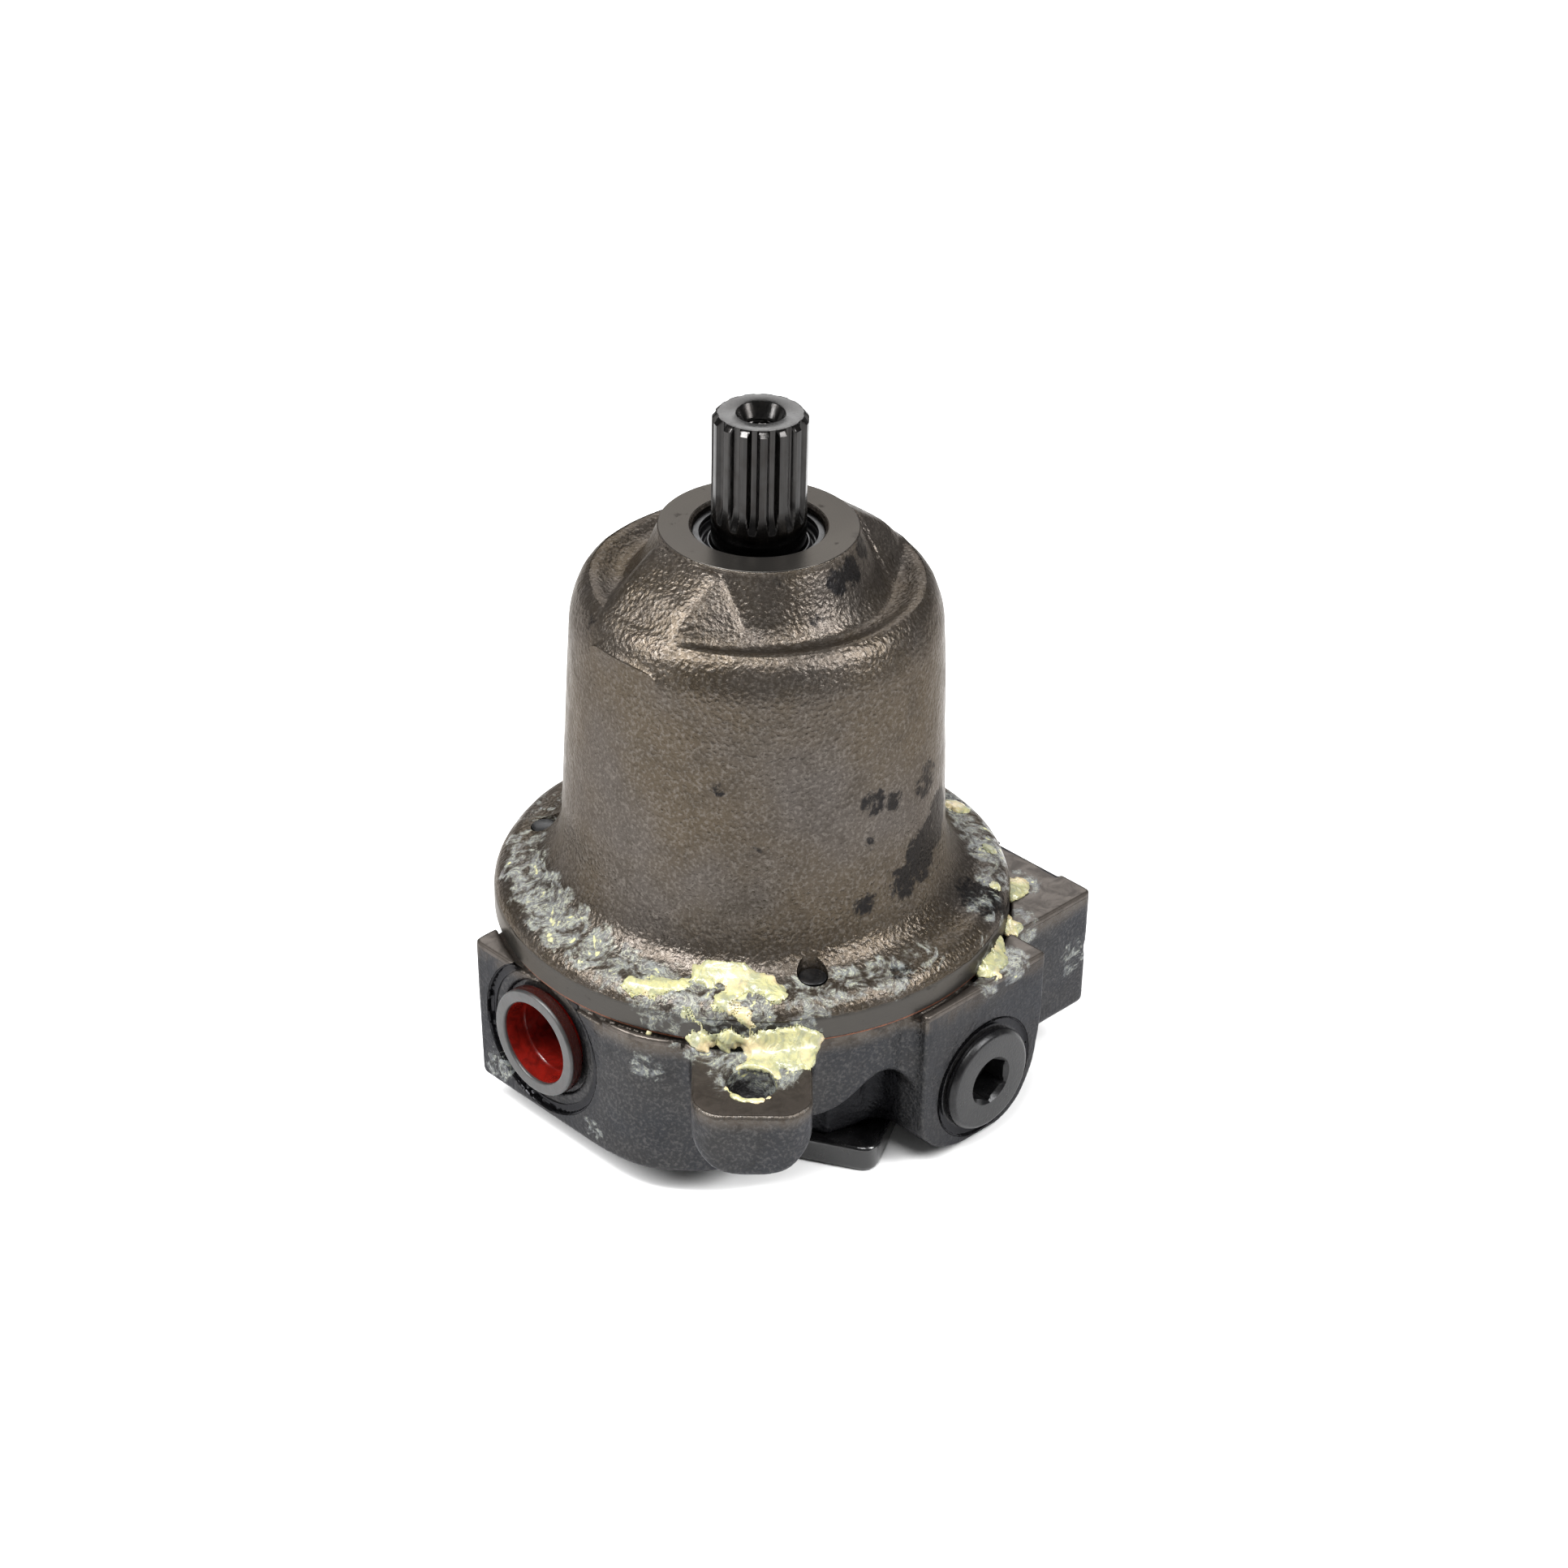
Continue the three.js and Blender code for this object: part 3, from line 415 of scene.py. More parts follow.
def cap_finish():
    f = Finish("cap_casting", (0.03, 0.03, 0.033), 0.7, Specular_Tint=(0.5, 0.5, 0.52, 1))
    broad = f.noise(30, 3, 0.5)
    patchy = f.noise(8, 4, 0.6, 0.4)
    grain = f.noise(0.9, 3, 0.55)
    edge = f.times(f.minus(patchy, 0.5), 1.4)

    # cast skin: blue-grey low down and brown near the joint
    low = f.mix(f.ramp(broad, 0.35, 0.65), (0.018, 0.019, 0.0215), (0.023, 0.0225, 0.0225))
    brown = f.mix(f.ramp(patchy, 0.4, 0.65), (0.066, 0.057, 0.048), (0.042, 0.034, 0.027))
    height = f.plus(f.z, f.times(edge, 3.5))
    colour = f.mix(f.ramp(height, CAP_TOP - 7, CAP_TOP - 2), low, brown)
    colour = f.mix(f.ramp(grain, 0.45, 0.7, 0, 0.4), colour, (0.085, 0.081, 0.078))
    colour = f.mix(f.ramp(patchy, 0.56, 0.72, 0, 0.6), colour, (0.015, 0.015, 0.015))

    # milled faces
    def milled_face(axis, face, side, limit):
        """The plane of a port's face, with a ragged edge, inside one more limit."""
        ragged = f.plus(axis, f.times(edge, -0.35 * side))
        return f.times(f.ramp(ragged, face - 0.35 * side, face - 0.1 * side), limit)

    left = milled_face(f.x, INLET["face"], -1, f.ramp(f.y, -26, -24))
    right = milled_face(f.x, OUTLET["face"], 1, f.ramp(f.y, -4, -6))
    front = milled_face(f.y, HEX_PORT["face"], -1, f.ramp(f.x, -16, -14))
    milled = f.either(left, right, front)
    lines = f.noise(0.55, 2, 0.5, stretch=(1, 1, 60))
    scuffs = f.noise(5, 5, 0.65, 0.8, stretch=(1, 1, 3))
    clean = f.mix(f.ramp(lines, 0.35, 0.65), (0.0115, 0.012, 0.0135), (0.017, 0.0175, 0.019))
    clean = f.mix(f.ramp(scuffs, 0.5, 0.75, 0, 0.5), clean, (0.009, 0.0095, 0.011))
    colour = f.mix(milled, colour, clean)

    # the lugs' faces are milled too, and smoother
    top = f.ramp(f.z, LUG["top"] - 0.2, LUG["top"] - 0.05)
    lug_top = f.times(top, f.ramp(f.radius(), 70, 71))
    colour = f.mix(f.times(lug_top, 0.85), colour,
                   f.mix(f.ramp(scuffs, 0.4, 0.65), (0.07, 0.06, 0.052), (0.042, 0.036, 0.031)))

    # oil gathers in the walls of the spotfaces, which are darkened further as painted shade in the corner
    oil_and_shade_wells = []
    for (a, b), centre, reach, axis, face in (
        ("yz", (INLET["y"], PORT_HEIGHT), SPOTFACE_RADIUS, f.x, INLET["face"]),
        ("yz", (OUTLET["y"], PORT_HEIGHT), SPOTFACE_RADIUS, f.x, OUTLET["face"]),
        ("xz", (HEX_PORT["x"], HEX_PORT["z"]), HEX_SPOTFACE_RADIUS, f.y, HEX_PORT["face"]),
    ):
        radius = f.radius(centre, a + b)
        rim = f.ramp(radius, reach + 0.3, reach + 0.6, 1, 0)
        ring = f.times(f.ramp(radius, reach - 2.8, reach - 1.6), rim)
        depth = f.math("ABSOLUTE", f.minus(axis, face))
        oil_and_shade_wells.append(f.times(ring, f.ramp(depth, 2.5, 3.5, 1, 0)))
    oil_and_shade_walls = f.either(*oil_and_shade_wells)
    # the waist under the step is darkened too, as painted shadow over black oil; both masks darken to near
    # black
    shadow_and_oil_under = f.times(f.ramp(f.radius(), 66.5, 64.5), f.ramp(f.z, 33, 28))
    colour = f.mix(f.times(f.either(oil_and_shade_walls, shadow_and_oil_under), 0.85), colour, (0.004, 0.004, 0.005))

    colour, film = grease_film(f, colour, CAP_FILMS)
    f.set("Base Color", colour)
    rough = f.blend(f.either(milled, lug_top),
                    f.ramp(patchy, 0.3, 0.7, 0.3, 0.45), f.ramp(scuffs, 0.3, 0.7, 0.28, 0.42))
    rough = f.blend(oil_and_shade_walls, rough, 0.15)
    f.set("Roughness", f.blend(film, rough, 0.3))
    f.set("Metallic", f.blend(film, 0.7, 0.0))
    cast_share = f.ramp(f.either(milled, f.times(lug_top, 0.8), oil_and_shade_walls), 0, 1, 1, 0)
    f.bump(f.times(grain, cast_share), 0.2)
    f.bump(f.times(f.noise(3.2, 3, 0.55), cast_share), 0.3)
    f.bump(f.times(lines, milled), 0.035)
    f.bump(film, 0.07)
    return f.material


def tinted(tone, *shares):
    return tuple(tone * share for share in shares)


def steel_finish(name, tone, roughness, lengthwise=True, oxide=0.35):
    """Ground or turned steel, with fine lines along the Z axis or round it, and brownish oil stains."""
    f = Finish(name, (tone,) * 3, metallic=1.0)
    lines = f.noise(0.5, 2, 0.5, stretch=(1, 1, 50) if lengthwise else (40, 40, 1))
    stain = f.noise(6, 4, 0.6, 0.5)
    colour = f.mix(f.ramp(lines), tinted(tone, 0.8, 0.78, 0.77), tinted(tone, 1.15, 1.1, 1.07))
    colour = f.mix(f.ramp(stain, 0.45, 0.75, 0, oxide), colour, tinted(tone, 0.55, 0.42, 0.33))
    f.set("Base Color", colour)
    f.set("Roughness", f.ramp(stain, 0.3, 0.7, roughness * 0.8, roughness * 1.35))
    f.bump(lines, 0.02)
    f.bump(f.noise(2.5, 3), 0.03)
    return f.material


def black_finish(name, tone, metallic, roughness, coat=0.0):
    """Black oxide or paint that has worn a little grey and holds dust."""
    f = Finish(name, (tone,) * 3, metallic=metallic, coat=coat, coat_roughness=0.12)
    fine = f.noise(0.7, 3, 0.5)
    wear = f.noise(5, 5, 0.65, 0.6)
    colour = f.mix(f.ramp(wear, 0.4, 0.75), tinted(tone, 1, 1, 1.1), tinted(tone, 2.2, 2.15, 2.2))
    colour = f.mix(f.ramp(fine, 0.55, 0.75, 0, 0.4), colour, tinted(tone, 3.2, 3.1, 3))
    f.set("Base Color", colour)
    f.set("Roughness", f.ramp(wear, 0.3, 0.7, roughness * 0.8, roughness * 1.3))
    f.bump(fine, 0.05)
    return f.material


def plastic_finish(name, port):
    """Red moulded plug: its ring is rubbed grey and oily, and the cup inside is bare and glossy."""
    f = Finish(name, (0.35, 0.02, 0.008), roughness=0.25, Subsurface_Weight=0.15,
               Subsurface_Radius=(0.004, 0.0008, 0.0004))
    swirl = f.noise(4, 4, 0.6, 0.8)
    red = f.mix(f.ramp(swirl, 0.4, 0.7), (0.12, 0.005, 0.003), (0.06, 0.003, 0.002))
    depth = f.math("ABSOLUTE", f.x)
    face = abs(port["face"])
    front = f.ramp(depth, face + PLUG_FRONT - 1.2, face + PLUG_FRONT - 0.6)
    # the outer side of the ring is darkened to a deep red: painted shade
    outside = f.ramp(f.radius((port["y"], PORT_HEIGHT), "yz"), PLUG_RADIUS - 1.0, PLUG_RADIUS - 0.3)
    grey = f.mix(f.ramp(swirl, 0.35, 0.65), (0.015, 0.0145, 0.0145), (0.024, 0.023, 0.0225))
    colour = f.mix(outside, red, (0.022, 0.006, 0.005))
    f.set("Base Color", f.mix(front, colour, grey))
    f.set("Roughness", f.ramp(front, 0, 1, 0.22, 0.42))
    f.bump(f.noise(0.8, 2), 0.03)
    f.bump(swirl, 0.08)
    return f.material


def grease_finish():
    f = Finish("grease", GREASE_YELLOW, roughness=0.32, coat=0.35, Subsurface_Weight=0.35,
               Subsurface_Radius=(0.003, 0.002, 0.001))
    swirl = f.noise(5, 4, 0.6, 1.5)
    colour = f.mix(f.ramp(swirl, 0.35, 0.65), (0.34, 0.325, 0.16), (0.2, 0.205, 0.125))
    colour = f.mix(f.ramp(f.noise(9, 3), 0.5, 0.68), colour, (0.44, 0.36, 0.21))
    colour = f.mix(f.ramp(f.noise(3, 4, 0.6, 1.0), 0.58, 0.72, 0, 0.55), colour, (0.14, 0.15, 0.14))
    f.set("Base Color", colour)
    f.bump(swirl, 0.5)
    f.bump(f.noise(1.4, 3, 0.6, 1.0), 0.15)
    return f.material


def gasket_finish():
    f = Finish("gasket", (0.3, 0.1, 0.03), roughness=0.75)
    fibre = f.noise(0.6, 4, 0.7, stretch=(3, 3, 1))
    f.set("Base Color", f.mix(f.ramp(fibre, 0.35, 0.65), (0.16, 0.05, 0.018), (0.075, 0.022, 0.01)))
    f.bump(fibre, 0.06)
    return f.material


def rubber_finish():
    f = Finish("rubber", (0.008, 0.008, 0.009), roughness=0.4)
    bloom = f.noise(3, 4, 0.6)
    f.set("Base Color", f.mix(f.ramp(bloom, 0.45, 0.75), (0.004, 0.004, 0.005), (0.012, 0.012, 0.013)))
    f.set("Roughness", f.ramp(bloom, 0.3, 0.7, 0.28, 0.5))
    f.bump(f.noise(0.5, 2), 0.03)
    return f.material


def bronze_finish():
    f = Finish("bronze", (0.5, 0.33, 0.12), metallic=1.0)
    lines = f.noise(0.5, 2, 0.5, stretch=(40, 40, 1))
    stain = f.noise(5, 4, 0.6, 0.4)
    colour = f.mix(f.ramp(stain, 0.4, 0.7), (0.55, 0.36, 0.14), (0.3, 0.18, 0.08))
    f.set("Base Color", f.mix(f.ramp(lines, 0.4, 0.7, 0, 0.4), colour, (0.65, 0.48, 0.22)))
    f.set("Roughness", f.ramp(stain, 0.3, 0.7, 0.22, 0.4))
    f.bump(lines, 0.03)
    return f.material


# ---- mesh tools ----

def mesh_object(name, shape, weld=True):
    """An object from (vertices in millimetres, faces), with its faces turned outwards if it is welded."""
    vertices, faces = shape
    mesh = bpy.data.meshes.new(name)
    mesh.from_pydata((np.asarray(vertices) * MM).tolist(), [], faces)
    if weld:
        work = bmesh.new()
        work.from_mesh(mesh)
        bmesh.ops.remove_doubles(work, verts=work.verts, dist=1e-7)
        bmesh.ops.recalc_face_normals(work, faces=work.faces)
        work.to_mesh(mesh)
        work.free()
    return placed(name, mesh)


def piece(name, shape, material, stands_for=(), body="housing", crease=40, weld=True):
    """A mesh piece that rides on a body and replaces the CAD nodes it stands for."""
    made = mesh_object(name, shape, weld)
    mesh = made.data
    mesh.shade_smooth()
    mesh.set_sharp_from_angle(angle=math.radians(crease))
    mesh.materials.append(material)
    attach(made, body)
    if stands_for:
        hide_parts(*stands_for)
    return made


def cut(target, *cutters):
    """Cuts closed shapes out of a piece."""
    tools = [mesh_object(f"cutter_{i}", cutter) for i, cutter in enumerate(cutters)]
    for tool in tools:
        modifier = target.modifiers.new("cut", "BOOLEAN")
        modifier.operation = "DIFFERENCE"
        modifier.solver = "MANIFOLD"
        modifier.object = tool
    bpy.context.view_layer.update()
    evaluated = target.evaluated_get(bpy.context.evaluated_depsgraph_get())
    result = bpy.data.meshes.new_from_object(evaluated)
    target.modifiers.clear()
    target.data = result
    result.set_sharp_from_angle(angle=math.radians(40))
    for tool in tools:
        bpy.data.objects.remove(tool)


def loft(loops, closed=False):
    """Quads between successive loops of points, with capped ends unless the last loop meets the first."""
    loops = np.asarray(loops, float)
    rows, count = loops.shape[:2]
    faces = []
    for i in range(rows if closed else rows - 1):
        a, b = i * count, (i + 1) % rows * count
        faces += [(a + j, a + (j + 1) % count, b + (j + 1) % count, b + j) for j in range(count)]
    if not closed:
        faces.append(tuple(range(count)))
        faces.append(tuple(range((rows - 1) * count, rows * count)))
    return loops.reshape(-1, 3), faces


def softened(points, closed=False, steps=4):
    """A polyline with rounded corners; each point is (a, b) or (a, b, reach of its rounding)."""
    result = []
    last = len(points) - 1
    for i, point in enumerate(points):
        corner = np.array(point[:2], float)
        reach = point[2] if len(point) > 2 else 0
        if reach == 0 or (not closed and i in (0, last)):
            result.append(corner)
            continue
        before = np.array(points[i - 1][:2], float) - corner
        after = np.array(points[(i + 1) % len(points)][:2], float) - corner
        start = corner + before / np.linalg.norm(before) * reach
        end = corner + after / np.linalg.norm(after) * reach
        for t in np.linspace(0, 1, steps + 1):
            result.append((1 - t) ** 2 * start + 2 * t * (1 - t) * corner + t ** 2 * end)
    return np.array(result)


def divided(line, step):
    """The same polyline, with no stretch longer than `step`."""
    result = []
    for a, b in zip(line, line[1:]):
        parts = max(1, math.ceil(np.linalg.norm(b - a) / step))
        result += [a + (b - a) * k / parts for k in range(parts)]
    return np.array([*result, line[-1]])


def directions(count):
    """Evenly spaced angles round a turn."""
    return np.arange(count) * TURN / count


def loop_at(radius, angles, z, centre=(0, 0)):
    """A level loop of points; the radius is a number, or one number for each angle."""
    x, y = radius * np.cos(angles) + centre[0], radius * np.sin(angles) + centre[1]
    return np.stack([x, y, np.full(len(angles), z)], 1)


def spun(profile, count=96, closed=False, centre=(0, 0)):
    """A profile of (radius, height, rounding) turned about an upright axis."""
    angles = directions(count)
    return loft([loop_at(r, angles, z, centre) for r, z in softened(profile, closed)], closed)


def facing(shape, direction, place):
    """Turns a shape made along +Z so that it lies along another direction, and moves it."""
    vertices, faces = shape
    turn = Vector((0, 0, 1)).rotation_difference(Vector(direction)).to_matrix()
    return np.asarray(vertices) @ np.array(turn).T + np.array(place), faces


def hexagon_radius(angles, across):
    """Distance from a hexagon's centre to its edge, in each direction."""
    sixth = TURN / 6
    return across / 2 / np.cos((angles + sixth / 2) % sixth - sixth / 2)


def shape_noise(points, size, seed=0.0):
    """Smooth noise from -1 to 1 at each point, with features of about `size`."""
    return np.array([noise.noise((x / size + seed, y / size, z / size)) for x, y, z in points])


# ---- shapes as fields: each function gives the distance from a surface, negative inside ----

def joined(a, b, fillet):
    return -trimmed(-a, -b, fillet)


def trimmed(a, b, edge):
    """What is inside both, with the edge between them rounded."""
    share = np.clip(0.5 + 0.5 * (a - b) / edge, 0, 1)
    return b + (a - b) * share + edge * share * (1 - share)


def between(value, low, high):
    return np.maximum(low - value, value - high)


def outline_distance(points, x, y):
    """Signed distance from a closed outline."""
    best = np.full(np.broadcast(x, y).shape, np.inf)
    inside = np.zeros(best.shape, bool)
    for (ax, ay), (bx, by) in zip(points, np.roll(points, -1, 0)):
        ex, ey = bx - ax, by - ay
        along = np.clip(((x - ax) * ex + (y - ay) * ey) / (ex * ex + ey * ey), 0, 1)
        best = np.minimum(best, (x - ax - ex * along) ** 2 + (y - ay - ey * along) ** 2)
        if ey != 0:
            inside ^= ((ay > y) != (by > y)) & (x < ax + (y - ay) * ex / ey)
    return np.where(inside, -1, 1) * np.sqrt(best)


def skin(field, low, high, step):
    """Vertices and faces of a field's surface: one vertex in each cell that the surface passes through."""
    axes = [np.arange(a, b + step, step) for a, b in zip(low, high)]
    grid = field(axes[0][:, None, None], axes[1][None, :, None], axes[2][None, None, :])
    for axis in range(3):
        for end in (0, -1):  # the surface is closed at the grid's edges
            layer = grid.swapaxes(0, axis)[end]
            layer[:] = np.maximum(layer, step / 2)
    inside = grid < 0
    corners = np.array([(i, j, k) for i in (0, 1) for j in (0, 1) for k in (0, 1)])
    nx, ny, nz = np.array(inside.shape) - 1
    count = sum(inside[i:i + nx, j:j + ny, k:k + nz].astype(np.int8) for i, j, k in corners)
    cells = np.argwhere((count > 0) & (count < 8))
    number = np.full(count.shape, -1, np.int64)
    number[tuple(cells.T)] = np.arange(len(cells))
    values = np.stack([grid[tuple((cells + c).T)] for c in corners], 1)
    total, crossings = np.zeros((len(cells), 3)), np.zeros(len(cells))
    for a in range(8):
        for b in range(a + 1, 8):
            if np.abs(corners[a] - corners[b]).sum() != 1:
                continue
            crossed = (values[:, a] < 0) != (values[:, b] < 0)
            gap = np.where(crossed, values[:, a] - values[:, b], 1)
            share = np.where(crossed, values[:, a] / gap, 0)
            total += crossed[:, None] * (corners[a] + share[:, None] * (corners[b] - corners[a]))
            crossings += crossed
    vertices = np.array(low) + step * (cells + total / crossings[:, None])
    vertices = settled(field, vertices, step)
    faces = []
    for axis in range(3):
        one, two = (axis + 1) % 3, (axis + 2) % 3
        first = inside.take(range(inside.shape[axis] - 1), axis)
        second = inside.take(range(1, inside.shape[axis]), axis)
        edges = np.argwhere(first != second)
        starts_inside = first[tuple(edges.T)]
        ring = []
        for back_one, back_two in ((1, 1), (0, 1), (0, 0), (1, 0)):
            cell = edges.copy()
            cell[:, one] -= back_one
            cell[:, two] -= back_two
            ring.append(number[tuple(cell.T)])
        quads = np.stack(ring, 1)
        quads[~starts_inside] = quads[~starts_inside][:, ::-1]
        faces += quads.tolist()
    return vertices, faces


def settled(field, vertices, step, rounds=4):
    """Moves vertices onto the field's surface."""
    nudge = 0.02
    for _ in range(rounds):
        here = field(*vertices.T)
        slope = np.stack([
            (field(*(vertices + nudge * np.eye(3)[axis]).T) - here) / nudge for axis in range(3)], 1)
        steepness = np.maximum((slope ** 2).sum(1), 0.05)
        move = np.clip(here / steepness, -step, step)
        vertices = vertices - move[:, None] * slope
    return vertices


# ---- bell housing ----

RIB_HALF_WIDTH = 11.5
RIB_FALL = 1.35  # slope of a rib's sides
RIB_BOTTOM = 140
RIB_RIDGE = ((20, 166.2), (26.3, 165.5), (30.5, 163), (36.5, 159.2), (40.5, 155.2), (44, 151), (47.5, 145))


def with_ribs(points):
    """Raises the bell's top where two opposed ribs run down from the nose to the shoulder."""
    x, y, z = points.T
    along = np.abs(x)
    ridge = np.interp(along, *zip(*RIB_RIDGE))
    beyond = np.abs(y) - RIB_HALF_WIDTH
    side = 0.5 * (beyond + np.sqrt(beyond ** 2 + 3.5))
    fillet = np.clip((np.hypot(x, y) - NOSE_RADIUS) / 3.0, 0.02, 2.6)
    raised = -joined(-z, -(ridge - RIB_FALL * side), fillet)
    lifted = np.where((z > RIB_BOTTOM) & (along > 1), raised, z)
    return np.stack([x, y, np.maximum(lifted, z)], 1)


def make_bell(material):
    outer = softened([
        (FLANGE_RADIUS, FLANGE_BOTTOM + 0.4), (FLANGE_RADIUS, FLANGE_BAND_TOP, 0.8), (69.9, 60.4, 1.0),
        (67.4, 62.7, 1.6), (60.5, 63.8, 3), (55.4, 67.2, 3.5), (52.3, 76, 4), (50.1, 130, 6),
        (49.4, 142.5, 3), (46.7, 150, 3), (43.4, 152.4, 2.2), (38.2, GROOVE, 1.8),
        (35.4, GROOVE - 0.2, 1.5), (32.5, 152.3, 2.2), (30, 157, 3), (NOSE_RADIUS, 165.4, 0.7),
        (NOSE_RADIUS, NOSE_FACE - 0.3),
    ], steps=6)
    outer = divided(outer, 1.1)
    inner = softened([
        (NOSE_RADIUS - 0.3, NOSE_FACE), (SEAL_RADIUS + 0.8, NOSE_FACE), (SEAL_RADIUS, NOSE_FACE - 0.9),
        (SEAL_RADIUS, SEAL_FLOOR), (SHAFT_BORE, SEAL_FLOOR), (SHAFT_BORE, BEARING_ROOM_TOP),
        (BEARING_ROOM, BEARING_ROOM_TOP), (BEARING_ROOM, ROOF), (CAVITY_RADIUS, ROOF, 2.5),
        (CAVITY_RADIUS, FLANGE_BOTTOM), (FLANGE_RADIUS - 0.4, FLANGE_BOTTOM),
    ])
    inner = divided(inner, 3.0)
    profile = np.concatenate([outer, inner])
    count = 432
    angles = directions(count)
    around = np.tile(angles, len(profile))
    points = np.concatenate([loop_at(r, angles, z) for r, z in profile])
    outside = np.repeat(np.arange(len(profile)) < len(outer), count)
    points[outside] = with_ribs(points[outside])

    # cast unevenness, which stops at the machined faces
    rough = np.clip((np.hypot(points[:, 0], points[:, 1]) - NOSE_RADIUS) / 3, 0, 1) * outside
    rough *= np.clip((points[:, 2] - FLANGE_BAND_TOP) / 3, 0, 1)
    wave = 0.16 * shape_noise(points[outside], 17) + 0.07 * shape_noise(points[outside], 5, 40.0)
    outward = np.stack([np.cos(around), np.sin(around), np.full(len(around), 0.9)], 1)[outside]
    points[outside] += (wave * rough[outside])[:, None] * outward
    points[:, 2] = np.minimum(points[:, 2], NOSE_FACE)

    # the swashplate's saddle is sunk into the roof
    x, y, z = points.T
    reach = np.hypot(x, y)
    sunk = ~outside & (z > ROOF - 0.01) & (z < BEARING_ROOM_TOP - 0.1)
    sunk &= (reach > BEARING_ROOM - 0.1) & (reach < CAVITY_RADIUS + 0.1)
    saddle = TILT_HEIGHT + np.sqrt(np.maximum(SADDLE_RADIUS ** 2 - y ** 2, 0))
    points[sunk, 2] = np.maximum(z[sunk], saddle[sunk])
    shape = loft(points.reshape(len(profile), count, 3), closed=True)
    bell = piece("bell_skin", shape, material, ["bell_housing"])
    cut(bell, *bolt_holes())


def bolt_holes():
    """Cutters through the flange and the gasket."""
    line = [(BOLT_RADIUS + 0.25, z) for z in (45, 75)]
    return [spun(line, 40, centre=polar(BOLT_CIRCLE, angle)) for angle in BOLT_ANGLES]


# ---- end cap ----

INLET_OUTLINE = softened([
    (INLET["face"], -18, 7), (-67.5, -31, 7), (-54, -45, 7), (-20, -50), (-20, 56), (-48, 50, 4),
    (-58.5, 42, 2), (INLET["face"], 36.2, 3.2),
], closed=True)
OUTLET_OUTLINE = softened([
    (20, -50), (43, -62, 1), (OUTLET["face"], -62, 2.5), (OUTLET["face"], -16, 3), (60, 0, 3), (20, 10),
], closed=True)
PLUG_BOSS_OUTLINE = softened([
    (-7, CAP_TOP + 5), (-7, 12, 3), (-1, 5.3, 3), (7, 2, 4), (25, 1.6, 4), (32, 6, 3), (37, 15, 4),
    (39.3, 30, 5), (39.3, CAP_TOP + 5),
], closed=True)
CAP_RADIUS = 68.5
CAP_WAIST = 56  # the radius below the step
LUG = {"top": 49.5, "bottom": 30.6, "front": 99.8, "half_width": 16, "chamfer": 5.5}
MILLED_EDGE = 0.9


def lug_field(x, y, z, angle):
    c, s = math.cos(math.radians(angle)), math.sin(math.radians(angle))
    along, across = x * c + y * s, y * c - x * s
    half, chamfer, front = LUG["half_width"], LUG["chamfer"], LUG["front"]
    plan = outline_distance(softened([
        (35, -half), (front - chamfer, -half, 3), (front, chamfer - half, 3), (front, half - chamfer, 3),
        (front - chamfer, half, 3), (35, half),
    ], closed=True), along, across)
    end_view = outline_distance(softened([
        (-half, LUG["top"]), (-half, LUG["bottom"] + 7, 4), (-half + 8, LUG["bottom"], 6),
        (half - 8, LUG["bottom"], 6), (half, LUG["bottom"] + 7, 4), (half, LUG["top"]),
    ], closed=True), across, z)
    return trimmed(plan, end_view, 1.6)


def end_cap_field(x, y, z):
    radius = np.hypot(x, y)
    angle = np.degrees(np.arctan2(y, x)) % 360
    step = 24.2 + 9.6 * np.exp(-((angle - 257) / 9) ** 2)
    upper = trimmed(radius - CAP_RADIUS, between(z, step, CAP_TOP + 2), 2.2)
    waist = trimmed(radius - CAP_WAIST, between(z, CAP_BOTTOM, CAP_TOP + 2), 2)
    body = joined(upper, waist, 3)
    draft = y - 36.0 + 0.055 * (CAP_TOP - z)
    inlet = trimmed(outline_distance(INLET_OUTLINE, x, y), between(z, CAP_BOTTOM, CAP_TOP + 2), 2.2)
    body = joined(body, trimmed(inlet, draft, 2.0), 3)
    outlet = trimmed(outline_distance(OUTLET_OUTLINE, x, y), between(z, 13.5, CAP_TOP + 2), 2.4)
    body = joined(body, outlet, 3)
    boss_outline = outline_distance(PLUG_BOSS_OUTLINE, x, z)
    boss = trimmed(boss_outline, between(y, HEX_PORT["face"], -45), MILLED_EDGE)
    body = joined(body, boss, 4)
    for milled_face in (INLET["face"] - x, x - OUTLET["face"], HEX_PORT["face"] - y):
        body = trimmed(body, milled_face, MILLED_EDGE)
    for lug_angle in LUG_ANGLES:
        body = joined(body, lug_field(x, y, z, lug_angle), 4)
    body = trimmed(body, z - CAP_TOP, 0.9)
    for hole in cap_holes(x, y, z):
        body = trimmed(body, -hole, 0.7)
    return body


